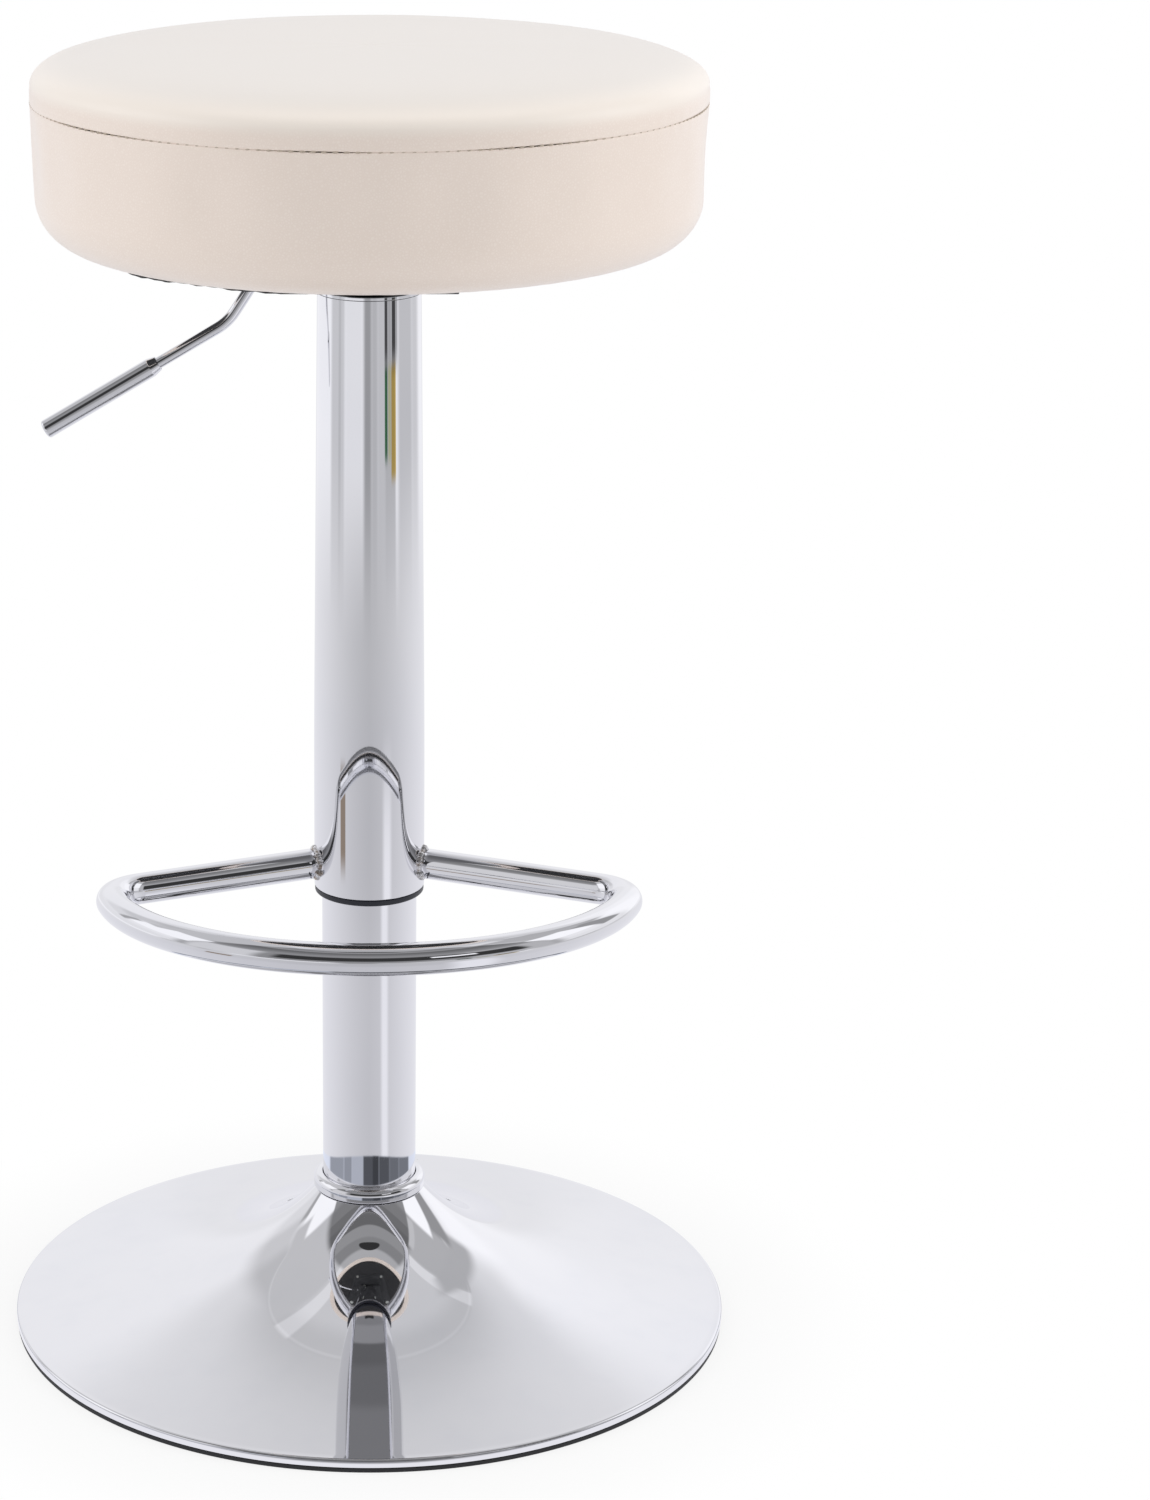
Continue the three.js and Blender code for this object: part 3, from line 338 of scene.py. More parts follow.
leatherLook = {
    "skin": tone(233, 220, 210), "crease": tone(226, 211, 200), "patch": tone(234, 222, 213),
    # shoulder is a painted highlight where the top panel turns over; crown is a greyer painted sheen on the top
    "shoulder": tone(236, 227, 218), "shoulderSpan": (0.666, 0.673),
    "crown": tone(225, 218, 211), "crownSpan": (0.6755, 0.6835),
    "warpScale": 280, "warp": 0.0008, "grainScale": 700, "grain": 0.000012, "grainSpan": (0, 0.4),
    "poreScale": 2600, "pores": 0.4, "patchScale": 7, "patchSpan": (0.3, 0.7),
    "slackScale": 20, "slack": 0.0001,
    "creaseShow": 0.6, "creaseDull": 0.1, "patchDull": 0.04,
    "roughness": 0.4, "coat": 0.8, "coatRoughness": 0.3,
}


def makeLeather(name, look):
    # leathercloth: a fine pressed grain, tiny pores, faint slack over the foam and a soft top coat;
    # painted light by height: a paler painted highlight on the seat's shoulder and a greyer painted sheen on the
    # crown's top
    material, shader = newMaterial(name)
    place = shader.place()
    warp = shader.noise(place, look["warpScale"], 2) * look["warp"]
    bent = shader.node("ShaderNodeVectorMath", {"operation": "ADD"}, {0: place, 1: warp})
    grain = shader.cells(bent, look["grainScale"], "DISTANCE_TO_EDGE").ramp(*look["grainSpan"])
    pores = shader.noise(place, look["poreScale"], 2)
    patches = shader.noise(place, look["patchScale"], 2).ramp(*look["patchSpan"])
    slack = shader.noise(place, look["slackScale"], 1)
    skin = shader.mix(patches, look["skin"], look["patch"])
    skin = shader.mix(grain * look["creaseShow"] + (1 - look["creaseShow"]), look["crease"], skin)
    _, _, height = shader.parts(place)
    # painted light: the shoulder's painted highlight, then the crown's painted sheen
    for zone in ("shoulder", "crown"):
        skin = shader.mix(height.ramp(*look[zone + "Span"]), skin, look[zone])
    pressed = shader.bump(grain + pores * look["pores"], look["grain"])
    values = {"Height": slack, "Distance": look["slack"], "Strength": 1.0, "Normal": pressed}
    shader.surface(shader.node("ShaderNodeBsdfPrincipled", {}, {
        "Base Color": skin,
        "Roughness": look["roughness"] + (1 - grain) * look["creaseDull"] + patches * look["patchDull"],
        "Coat Weight": look["coat"],
        "Coat Roughness": look["coatRoughness"],
        "Normal": shader.node("ShaderNodeBump", {}, values),
    }))
    return material


bareLook = steelLook(tone(176, 178, 180), tone(128, 122, 116), 900, 0.28)
zincLook = steelLook(tone(196, 199, 194), tone(160, 158, 146), 1400, 0.36)
rubberLook = mouldedLook(tone(22, 23, 26), tone(40, 41, 46), 700, 0.62)
plasticLook = mouldedLook(tone(24, 26, 36), tone(36, 39, 52), 2200, 0.36)
finishes = {
    "chrome": makeFinish("chromePlate", chromeLook),
    "bare_steel": makeFinish("bareSteel", bareLook),
    "zinc_fastener": makeFinish("zincPlate", zincLook),
    "cast_weight": makeFinish("castIron", ironLook),
    "black_enamel": makeFinish("blackEnamel", enamelLook),
    "black_rubber": makeFinish("blackRubber", rubberLook),
    "black_plastic": makeFinish("blackPlastic", plasticLook),
    "cream_leather": makeLeather("creamLeathercloth", leatherLook),
    "foam": makeFinish("seatFoam", foamLook),
    "plywood": makeFinish("plywood", plywoodLook),
    "black_cloth": makeFinish("nonwovenCloth", nonwovenLook),
}
shadedThreadFinish = makeFinish("seamThread", shadedThreadLook)
weldFinish = makeFinish("weldPlate", weldLook)
print("finishes made:", len(finishes) + 2)


# Frame nodes keep their shape and take the finish of their slot
slots = {part["node"]: part["material_slot"] for part in frame["record"]["subparts"]}
for name, node in nodes.items():
    for place in node.material_slots:
        place.material = finishes[slots[name]]
print("frame nodes dressed")


# Stage: a pale floor under a soft studio. The camera sees plain white round the stool's shadow;
# in reflections the floor glows with painted reflections: a sweep of paper with cards and stands painted on it,
# dimmer in front.
# A bearing is 0 in front of the stool and 90 on its right; steps are start, end and tone.
stageLook = {
    "radius": 4.0, "sides": 96, "plainSpan": (0.2, 0.29), "plainShare": 0.8, "paper": 0.9, "glow": 0.55,
    "tint": (0.99, 0.99, 1.02, 1), "nearTint": (0.985, 0.985, 1.035, 1), "tintSpan": (0.6, 1.6),
    "shadeTint": (0.93, 0.98, 1.12, 1),
    "far": 1.0, "farSteps": ((96, 112, 0.68), (120, 140, 1.0)), "farBehind": 0.87, "behindSpan": (152, 166),
    "nearFront": 0.61, "nearSteps": ((0.5, 0.8, 0.54),), "nearBack": 0.87, "backSpan": (-20, 150),
    "litPatch": (37, 8, 5), "litTone": 0.92, "litSpan": (0.75, 1.2), "farSpan": (1.4, 2.3),
    "standSpan": (2.6, 2.85), "boxSoft": 0.8, "boxEdge": 0.04,
    "shadeReach": 0.2365, "shadeAhead": 0.017, "shadeSoft": 0.002,
    "rimBright": 0.93, "rimBrightReach": 0.2026, "rimDull": 0.33, "rimDullReach": 0.21, "rimSoft": 0.001,
    "rimSide": 0.45, "rimSideSpan": (12, 55),
}
# painted cards far off on the floor: bearing, half its width, softness and tone
farCards = (
    (-72, 18, 5, 0.66), (-67, 3, 2, 0.56), (-34, 20, 6, 0.86), (-3, 9, 5, 0.36), (12, 8, 5, 0.52),
    (27, 10, 5, 0.6), (46, 12, 3, 0.5), (85, 20, 6, 0.6),
)
# painted dark lamp stands beyond those, and the painted shade just in front of the base, likewise
farStands = ((36.5, 3.2, 1, 0.07), (44.5, 3, 1, 0.4), (54.6, 4.6, 1, 0.06), (61, 2.5, 1.5, 0.42))
shadeCards = (
    (-86, 24, 5, 0.37), (-52, 10, 2, 0.34), (-27, 15, 2, 0.5), (4, 18, 2, 0.1), (15, 7, 2, 0.06),
    (36, 14, 3, 0.1), (62, 14, 4, 0.17), (92, 18, 4, 0.21),
)
# painted coloured things between the column and the stands: bearing, half width, nearest, farthest and colour
farBoxes = (
    (36.5, 3, 2.2, 2.72, tone(84, 138, 100)), (44, 3, 2.2, 2.72, tone(240, 240, 196)),
    (53.6, 5.4, 2.1, 2.72, tone(232, 200, 116)), (-56, 5.6, 0.77, 1.03, tone(176, 160, 146)),
)


def between(value, middle, half, softness):
    # 1 within half of the middle and 0 beyond it, with soft edges
    return 1 - abs(value - middle).ramp(half - softness, half + softness)


def past(value, edge, softness):
    return value.ramp(edge - softness, edge + softness)


def toward(level, share, target):
    return level + share * (target - level)


def graded(value, level, steps):
    # a level that passes from one tone to the next, each step from a start to an end
    for start, end, nextLevel in steps:
        level = toward(level, value.ramp(start, end), nextLevel)
    return level


def bearingOf(across, along):
    return across.maths("ARCTAN2", across, 0 - along) * (180 / math.pi)


def floorLevel(bearing, distance, facing):
    # the floor's painted tone in reflections, with painted cards, stands and the zone of painted shade in front of
    # the base, and a dull and a bright painted band near the rim for the base's rim to reflect
    look = stageLook
    far = graded(bearing, look["far"], look["farSteps"])
    far = toward(far, abs(bearing).ramp(*look["behindSpan"]), look["farBehind"])
    for *card, level in farCards:
        far = toward(far, between(bearing, *card), level)
    near = graded(distance, look["nearFront"], look["nearSteps"])
    near = toward(near, abs(bearing).ramp(*look["backSpan"]), look["nearBack"])
    lit = between(bearing, *look["litPatch"]) * (1 - distance.ramp(*look["litSpan"]))
    near = toward(near, lit, look["litTone"])
    level = toward(near, distance.ramp(*look["farSpan"]), far)
    for *stand, standLevel in farStands:
        level = toward(level, between(bearing, *stand) * distance.ramp(*look["standSpan"]), standLevel)
    reach = look["shadeReach"] + facing * look["shadeAhead"]
    beyondRim = past(distance, look["rimDullReach"], look["rimSoft"])
    inShade = (1 - past(distance - reach, 0, look["shadeSoft"])) * beyondRim
    for *shade, shadeLevel in shadeCards:
        level = toward(level, between(bearing, *shade) * inShade, shadeLevel)
    # within the rim's reach a painted dull band, and closest to the base a painted bright band, which the base's
    # rim reflects
    dull = look["rimDull"] + abs(bearing).ramp(*look["rimSideSpan"]) * look["rimSide"]
    level = toward(level, 1 - beyondRim, dull)
    bright = 1 - past(distance, look["rimBrightReach"], look["rimSoft"])
    return toward(level, bright, look["rimBright"]), inShade


def makeFloor():
    look = stageLook
    angle = np.linspace(0, fullTurn, look["sides"], endpoint=False)
    ring = look["radius"] * np.stack([np.cos(angle), np.sin(angle), 0 * angle], -1)
    floor = linked("floor", newMesh("floor", ring, [list(range(look["sides"]))]))
    material, shader = newMaterial("floor")
    across, along, _ = shader.parts(shader.place())
    distance = (across * across + along * along) ** 0.5
    bearing = bearingOf(across, along)
    colour = shader.mix(distance.ramp(*look["tintSpan"]), look["nearTint"], look["tint"])
    for middle, half, nearest, farthest, paint in farBoxes:
        reach = (farthest - nearest) / 2
        box = between(bearing, middle, half, look["boxSoft"])
        colour = shader.mix(box * between(distance, nearest + reach, reach, look["boxEdge"]), colour, paint)
    level, inShade = floorLevel(bearing, distance, (0 - along) / (distance + 0.001))
    colour = shader.mix(inShade, colour, look["shadeTint"])
    cameraRay, glossyRay = shader.node("ShaderNodeLightPath", output=("Is Camera Ray", "Is Glossy Ray"))
    plain = toward(look["plainShare"], distance.ramp(*look["plainSpan"]), 1)
    paper = shader.node("ShaderNodeBsdfDiffuse", {}, {"Color": (*[look["paper"]] * 3, 1)})
    white = shader.node("ShaderNodeEmission", {}, {"Color": (1, 1, 1, 1), "Strength": 1})
    # glossy rays see the floor glow in its painted reflection colour and tone
    tinted = shader.node("ShaderNodeEmission", {}, {"Color": colour, "Strength": level})
    clear = shader.node("ShaderNodeBsdfTransparent")
    below = shader.node("ShaderNodeNewGeometry", output="Backfacing")
    seen = shader.blend(toward(look["glow"], cameraRay, plain), paper, white)
    shader.surface(shader.blend(below, shader.blend(glossyRay, seen, tinted), clear))
    floor.data.materials.append(material)


# Studio as reflections see it: tones by bearing and by climb above the horizon, in degrees.
# Overhead, places are slopes from the column: sideways and backwards for each metre up.
studioLook = {
    "ambient": 0.66, "tint": (0.99, 0.99, 1.015, 1), "sideSpan": (79, 90), "lowest": 0.05,
    "wall": 0.88, "wallSteps": ((3, 12, 0.95), (31, 41, 0.8), (40, 55, 0.6)),
    "leftWall": 0.81, "leftWallSteps": ((18, 26, 0.67), (33, 42, 0.57)),
    "leftWallAt": (-135, 11, 5), "leftWallSpan": (6, 12),
    "ceiling": 0.66, "ceilingSteps": ((0.42, 0.6, 0.58),), "ceilingSpan": (34, 37),
    "leftCeiling": 0.6, "leftCeilingSpan": (0.29, 0.33),
    "rightCeiling": 0.5, "rightCeilingSpan": (0.49, 0.53),
    "ceilingEdge": 0.69, "edgeSoft": 0.012, "edgeLine": (0.02, 0.008, 0.006), "edgeBright": 0.06,
    "beam": 0.15, "beams": ((-0.255, 0.036), (0.455, 0.045)), "beamSoft": 0.006, "front": 0.3,
    "frontSteps": (
        (40, 44, 0.23), (49, 50, 0.18), (54, 56, 0.15), (60, 61, 0.32), (66, 67.5, 0.26), (72, 74, 0.46),
    ),
}
# cards and gaps round the stool: bearing, half width, climb, half height, softness and tone
sideCards = (
    (146, 15, 10, 20, 5, 1.1), (158, 7, 16, 21, 5, 1.03), (131, 8, 45, 15, 3, 0.49),
    (-124, 3, 17, 9, 2, 0.42), (-101, 20, 28, 13, 1.5, 1.09), (-119, 6, 38, 8, 2, 0.6),
    (120, 7.5, 23, 14, 2, 0.34), (97, 15, 30, 11.5, 1.5, 1.12), (86, 4, 51, 8, 1.5, 0.6),
    (-64, 16, 14, 20, 4, 0.72), (62, 20, 14, 20, 4, 0.52), (14, 54, 17.5, 12, 3, 0.04),
    (36, 10, 21, 3.5, 0.8, 1.1),
)
# a dark lamp head overhead in front: an oval, by the same slopes
lampHead = {"halfAside": 0.17, "ahead": -0.325, "halfAhead": 0.045, "tone": 0.035, "edgeSpan": (0.8, 1.1)}


def behindLevel(bearing, climb, aside, ahead):
    # walls and ceiling behind the stool
    look = studioLook
    wall = graded(climb, look["wall"], look["wallSteps"])
    leftWall = graded(climb, look["leftWall"], look["leftWallSteps"])
    wall = toward(wall, between(bearing, *look["leftWallAt"]) * climb.ramp(*look["leftWallSpan"]), leftWall)
    ceiling = graded(ahead, look["ceiling"], look["ceilingSteps"])
    for side, slope in (("left", 0 - aside), ("right", aside)):
        ceiling = toward(ceiling, slope.ramp(*look[side + "CeilingSpan"]), look[side + "Ceiling"])
    for middle, half in look["beams"]:
        ceiling = ceiling + between(aside, middle, half, look["beamSoft"]) * look["beam"]
    overhead = climb.ramp(*look["ceilingSpan"])
    under = (1 - past(ahead, look["ceilingEdge"], look["edgeSoft"])) * overhead
    before, half, softness = look["edgeLine"]
    line = between(ahead, look["ceilingEdge"] - before, half, softness) * overhead
    return toward(wall, under, ceiling) + line * look["edgeBright"]


def makeStudio():
    look = studioLook
    world = bpy.data.worlds.new("studio")
    world.use_nodes = True
    scene.world = world
    shader = Shader(world.node_tree)
    across, along, up = shader.parts(shader.node("ShaderNodeTexCoord", output="Generated"))
    bearing = bearingOf(across, along)
    climb = up.maths("ARCSINE", up) * (180 / math.pi)
    safeUp = up.maths("MAXIMUM", up, look["lowest"])
    aside, ahead = across / safeUp, along / safeUp
    front = graded(climb, look["front"], look["frontSteps"])
    # (aside / half width)^2 + (ahead / half depth)^2 is 1 on the lamp head's edge
    oval = (aside / lampHead["halfAside"]) ** 2 + ((ahead - lampHead["ahead"]) / lampHead["halfAhead"]) ** 2
    front = toward(lampHead["tone"], oval.ramp(*lampHead["edgeSpan"]), front)
    level = toward(front, abs(bearing).ramp(*look["sideSpan"]), behindLevel(bearing, climb, aside, ahead))
    for middle, half, height, halfHeight, softness, cardLevel in sideCards:
        card = between(bearing, middle, half, softness) * between(climb, height, halfHeight, softness)
        level = toward(level, card, cardLevel)
    cameraRay, glossyRay = shader.node("ShaderNodeLightPath", output=("Is Camera Ray", "Is Glossy Ray"))
    soft = shader.mix(glossyRay, (*[look["ambient"]] * 3, 1), look["tint"])
    colour = shader.mix(cameraRay, soft, (1, 1, 1, 1))
    strength = toward(1, glossyRay, level)
    background = shader.node("ShaderNodeBackground", {}, {"Color": colour, "Strength": strength})
    shader.node("ShaderNodeOutputWorld", {}, {"Surface": background})


# soft boxes for the matt surfaces, each turned about X and then Z to face the stool
lamps = {
    "overhead": {"place": (0.1, 0.1, 2.3), "turn": (-3, 0), "size": (1.8, 1.4), "watts": 10.5},
    "left": {"place": (-1.7, -0.5, 1.0), "turn": (71, -74), "size": (1.0, 1.6), "watts": 9.3},
    "right": {"place": (1.7, -0.4, 1.0), "turn": (71, 77), "size": (1.0, 1.6), "watts": 11},
}


def makeLamps():
    for name, lamp in lamps.items():
        data = bpy.data.lights.new(name, "AREA")
        data.shape = "RECTANGLE"
        data.size, data.size_y = lamp["size"]
        data.energy = lamp["watts"]
        light = linked(name, data)
        light.location = lamp["place"]
        light.rotation_euler = (math.radians(lamp["turn"][0]), 0, math.radians(lamp["turn"][1]))
        light.visible_glossy = light.visible_camera = False


makeFloor()
makeStudio()
makeLamps()
print("stage set")


# Meshes
def gridFaces(rows, columns, closeRows):
    # quads over a grid whose columns close on themselves, facing out where rows run clockwise
    row = np.arange(rows if closeRows else rows - 1)[:, None]
    column = np.arange(columns)[None, :]
    nextRow, nextColumn = (row + 1) % rows, (column + 1) % columns
    corners = [row * columns + column, nextRow * columns + column]
    corners += [nextRow * columns + nextColumn, row * columns + nextColumn]
    return np.stack(np.broadcast_arrays(*corners), -1).reshape(-1, 4)


def gridMesh(name, grid, closeRows=False, poles=None):
    # a grid of points as a closed mesh: rows close on themselves, or each end is closed at a pole
    rows, columns = grid.shape[:2]
    points = grid.reshape(-1, 3)
    faces = gridFaces(rows, columns, closeRows).tolist()
    if poles is not None:
        column = np.arange(columns)
        first = np.stack([np.full(columns, len(points)), column, (column + 1) % columns], -1)
        last = np.stack([np.full(columns, len(points) + 1), (column + 1) % columns, column], -1)
        last[:, 1:] += (rows - 1) * columns
        faces += first.tolist() + last.tolist()
        points = np.vstack([points, poles])
    mesh = newMesh(name, points, faces)
    mesh.shade_smooth()
    return mesh


def capped(name, grid):
    # a swept grid closed at both ends
    return gridMesh(name, grid, poles=[grid[0].mean(0), grid[-1].mean(0)])


def addPiece(name, mesh, body, slot, stands=(), finish=None):
    mesh.materials.append(finish or finishes[slot])
    piece = linked(name, mesh)
    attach(piece, body)
    if stands:
        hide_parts(*stands)
    return piece


def arcPoints(middle, radius, start, end, steps):
    # part of a circle: middle + radius (cos(turn), sin(turn))
    turn = np.linspace(start, end, steps)
    return middle + radius * np.stack([np.cos(turn), np.sin(turn)], -1)


# shares of a corner's shorter side that its arc and its support points may take up
filletLimits = {"cut": 0.45, "support": 0.04}


def filleted(corners, steps=5):
    # a closed outline of (across, up, fillet) corners: each corner becomes an arc between two
    # tangent points, with a support point on the straight run at each end
    outline = []
    points = np.array([corner[:2] for corner in corners], float)
    for index, corner in enumerate(corners):
        here = points[index]
        before = points[index - 1] - here
        after = points[(index + 1) % len(points)] - here
        lengths = np.linalg.norm(before), np.linalg.norm(after)
        before, after = before / lengths[0], after / lengths[1]
        half = math.acos(np.clip(before @ after, -1, 1)) / 2
        cut = min(corner[2] / max(math.tan(half), 1e-6), filletLimits["cut"] * min(lengths))
        radius = cut * math.tan(half)
        if corner[2] == 0 or half > quarterTurn - 1e-3:
            outline.append(here)
            continue
        middle = here + (before + after) / np.linalg.norm(before + after) * radius / math.sin(half)
        start, end = here + before * cut - middle, here + after * cut - middle
        spread = math.pi - 2 * half
        share = np.linspace(0, 1, steps + 1)[:, None]
        arc = np.sin((1 - share) * spread) * start + np.sin(share * spread) * end
        support = min(cut, filletLimits["support"] * min(lengths))
        outline.append(here + before * (cut + support))
        outline.extend(middle + arc / math.sin(spread))
        outline.append(here + after * (cut + support))
    return np.array(outline)


def clockwise(profile, axis):
    # the profile in the order that makes a turned surface face out
    closed = np.vstack([profile, profile[:1]]) if not axis else profile
    area = np.sum(closed[:-1, 0] * closed[1:, 1] - closed[1:, 0] * closed[:-1, 1])
    return profile[::-1] if area > 0 else profile


def turnedGrid(profile, sides):
    # (radius, height) turned about Z: x = radius sin(angle), y = -radius cos(angle)
    angle = np.linspace(0, fullTurn, sides, endpoint=False)
    radius, height = profile[:, 0, None], profile[:, 1, None] + 0 * angle
    return np.stack([radius * np.sin(angle), -radius * np.cos(angle), height], -1)


def turned(name, profile, sides):
    # a turned mesh: the profile closes on itself, or starts and ends on the axis
    profile = np.asarray(profile, float)
    onAxis = bool(np.all(profile[[0, -1], 0] == 0))
    profile = clockwise(profile, onAxis)
    if not onAxis:
        return gridMesh(name, turnedGrid(profile, sides), closeRows=True)
    poles = [(0, 0, profile[0, 1]), (0, 0, profile[-1, 1])]
    return gridMesh(name, turnedGrid(profile[1:-1], sides), poles=poles)


def addTurned(name, profile, sides, body, slot, stands, finish=None):
    return addPiece(name, turned(name, profile, sides), body, slot, stands, finish)


def ringProfile(inner, outer, bottom, top, edge, outerEdge=None, steps=5):
    outside = outerEdge or edge
    corners = [(inner, bottom, edge), (outer, bottom, outside), (outer, top, outside), (inner, top, edge)]
    return filleted(corners, steps)


def bearingAngle(grid):
    # turn about Z from the front
    return np.arctan2(grid[..., 0], -grid[..., 1])


def sweptGrid(path, radii, sides, upward, closed=False):
    # a circle carried along a path: centre + radius (cos(angle) side + sin(angle) lift)
    if closed:
        along = np.roll(path, -1, 0) - np.roll(path, 1, 0)
    else:
        along = np.gradient(path, axis=0)
    along /= np.linalg.norm(along, axis=1, keepdims=True)
    side = np.cross(along, upward)
    side /= np.linalg.norm(side, axis=1, keepdims=True)
    lift = np.cross(side, along)
    angle = np.linspace(0, fullTurn, sides, endpoint=False)[None, :, None]
    ring = np.cos(angle) * side[:, None] + np.sin(angle) * lift[:, None]
    return path[:, None] + np.asarray(radii)[..., None, None] * ring


def placed(mesh, middle, axes=((1, 0, 0), (0, 1, 0), (0, 0, 1))):
    # a mesh made about Z, carried so that its X, Y and Z lie along the given axes
    points = np.empty(len(mesh.vertices) * 3)
    mesh.vertices.foreach_get("co", points)
    points = points.reshape(-1, 3) @ np.array(axes, float) + middle
    mesh.vertices.foreach_set("co", points.ravel())
    mesh.update()
    return mesh


sharpAngle = math.radians(28)


def softCopy(name, node, bevel):
    # a copy of a frame node with its doubles merged and its edges broken
    shape = bmesh.new()
    shape.from_mesh(nodes[node].data)
    bmesh.ops.remove_doubles(shape, verts=shape.verts, dist=1e-6)
    bmesh.ops.dissolve_limit(shape, angle_limit=math.radians(1), verts=shape.verts, edges=shape.edges)
    sharp = [edge for edge in shape.edges if edge.calc_face_angle(0) > sharpAngle]
    bmesh.ops.bevel(shape, geom=sharp, offset=bevel, segments=2, profile=0.5, affect="EDGES")
    mesh = bpy.data.meshes.new(name)
    shape.to_mesh(mesh)
    shape.free()
    mesh.shade_smooth()
    mesh.set_sharp_from_angle(angle=sharpAngle)
    return mesh


# Base: trumpet shell, rubber edge ring and collar
baseShape = {
    "flareLength": 0.0353,  # radial distance over which the flare falls to a third
    "plateRise": 0.026,     # of the shallow cone under the flare, from the rim in to the neck
    "rimHeight": 0.0048, "rimRound": 0.0015, "wall": 0.0012, "neckGap": 0.004,
    "flareSteps": 90, "flareCrowding": 1.5, "rimSteps": 10, "sides": 256, "edge": 0.00035,
    "rimSupport": 0.0002, "insideDrop": 0.0006, "insideCut": 0.0004,
}


def makeBase():
    shape = baseShape
    outer, bottom, neckTop = extent("base_shell")
    neck = high("lower_tube")[0] + shape["neckGap"]
    rimTop = bottom + shape["rimHeight"]
    edge = outer - shape["rimRound"]
    # height = rim top + cone rise (edge - radius) / span
    #          + flare drop (e^(-(radius - neck) / length) - e^(-span / length)) / (1 - e^(-span / length))
    radius = neck + (edge - neck) * np.linspace(0, 1, shape["flareSteps"]) ** shape["flareCrowding"]
    fall = np.exp(-(radius - neck) / shape["flareLength"])
    whole = fall[-1]
    drop = neckTop - rimTop - shape["plateRise"]
    cone = shape["plateRise"] * (edge - radius) / (edge - neck)
    flare = np.stack([radius, rimTop + cone + drop * (fall - whole) / (1 - whole)], -1)
    slope = np.gradient(flare[:, 1], flare[:, 0])
    normal = np.stack([-slope, np.ones_like(slope)], -1)
    normal /= np.linalg.norm(normal, axis=1, keepdims=True)
    inside = flare - normal * shape["wall"]
    rimMiddle = rimTop - shape["rimRound"]
    rim = arcPoints((edge, rimMiddle), shape["rimRound"], quarterTurn, 0, shape["rimSteps"])[1:]
    innerEdge = outer - shape["wall"]
    soft = shape["edge"]
    skirt = [
        (outer, rimMiddle - shape["rimSupport"]), (outer, bottom + 2 * soft), (outer, bottom + soft),
        (outer - soft, bottom), (innerEdge + soft, bottom), (innerEdge, bottom + soft),
        (innerEdge, bottom + 2 * soft), (innerEdge, rimMiddle - shape["insideDrop"]),
        (innerEdge - shape["insideCut"], rimMiddle),
    ]
    profile = np.vstack([flare, rim, skirt, inside[::-1]])
    addTurned("base_shell_plate", profile, shape["sides"], "base", "chrome", ["base_shell"])


footRingShape = {
    "width": 0.009, "bulge": 0.0009, "lipWidth": 0.0022, "round": 0.0004, "shoulder": 0.0024, "sides": 256,
}


def makeFootRing():
    shape = footRingShape
    outer, bottom, top = extent("base_foot_ring")
    outer += shape["bulge"]
    lip = high("base_shell")[0] - baseShape["wall"] - seating
    shoulder = bottom + shape["shoulder"]
    inner = outer - shape["width"]
    fillet = shape["round"]
    profile = filleted([
        (inner, bottom, fillet), (outer, bottom, fillet), (outer, shoulder, fillet / 2),
        (lip, shoulder, 0), (lip, top, fillet / 2), (lip - shape["lipWidth"], top, fillet / 2),
        (lip - shape["lipWidth"], shoulder, 0), (inner, shoulder, fillet),
    ])
    addTurned("rubber_edge_ring", profile, shape["sides"], "base", "black_rubber", ["base_foot_ring"])


collarShape = {"round": 0.004, "roundSteps": 16, "undercut": 0.001, "edge": 0.0003, "sides": 128}


def makeCollar():
    # a pressed ring with a domed shoulder: a quarter circle between its side and its top
    shape = collarShape
    outer, bottom, top = extent("collar")
    inner = high("lower_tube")[0] + seating
    soft, cut, dome = shape["edge"], shape["undercut"], shape["round"]
    shoulder = arcPoints((outer - dome, top - dome), dome, 0, quarterTurn, shape["roundSteps"])
    profile = np.vstack([
        [(inner, bottom + soft), (inner + soft, bottom), (outer - cut, bottom)],
        [(outer, bottom + cut), (outer, bottom + cut + soft)],
        shoulder,
        [(inner + soft, top), (inner, top - soft)],
    ])
    addTurned("collar_ring", profile, shape["sides"], "base", "chrome", ["collar"])


makeBase()
makeFootRing()
makeCollar()
print("base made")


# Column: lower tube, tapered upper tube and the bush at its bottom edge
columnShape = {
    "lowerWall": 0.0015, "upperWall": 0.001, "straight": 0.0785, "topGap": 0.0005, "blend": 7.2,
    "edge": 0.0004, "topEdge": 0.00012, "sides": 128,
}


def makeLowerTube():
    shape = columnShape
    outer, bottom, top = extent("lower_tube")
    profile = ringProfile(outer - shape["lowerWall"], outer, bottom, top, shape["edge"])
    addTurned("lower_tube_plate", profile, shape["sides"], "base", "chrome", ["lower_tube"])


def makeUpperTube():
    # tapered above a straight foot; its top meets the cap's flange
    shape = columnShape
    outer, bottom, top = extent("upper_tube")
    wall, edge, topEdge, blend = shape["upperWall"], shape["edge"], shape["topEdge"], shape["blend"]
    topBore = high("lower_tube")[0] + shape["topGap"]
    kink, end = bottom + shape["straight"], top + seating / 2
    profile = filleted([
        (outer - wall, bottom, edge), (outer, bottom, edge), (outer, kink, blend),
        (topBore + wall, end, topEdge), (topBore, end, topEdge), (outer - wall, kink, blend),
    ], 8)
    addTurned("upper_tube_plate", profile, shape["sides"], "seat", "chrome", ["upper_tube"])


bushShape = {"lip": 0.0032, "wall": 0.00235, "edge": 0.0005, "sides": 96}


def makeBush():
    shape = bushShape
    lip, bottom, top = extent("tube_bush")
    sleeve = high("upper_tube")[0] - columnShape["upperWall"] - seating
    inner = sleeve - shape["wall"]
    shelf = bottom + shape["lip"]
    edge = shape["edge"]
    profile = filleted([
        (inner, bottom, edge), (lip, bottom, edge * 2), (lip, shelf, edge), (sleeve, shelf, 0),
        (sleeve, top, edge), (inner, top, edge),
    ])
    addTurned("bush_ring", profile, shape["sides"], "seat", "black_plastic", ["tube_bush"])


makeLowerTube()
makeUpperTube()
makeBush()
print("column made")


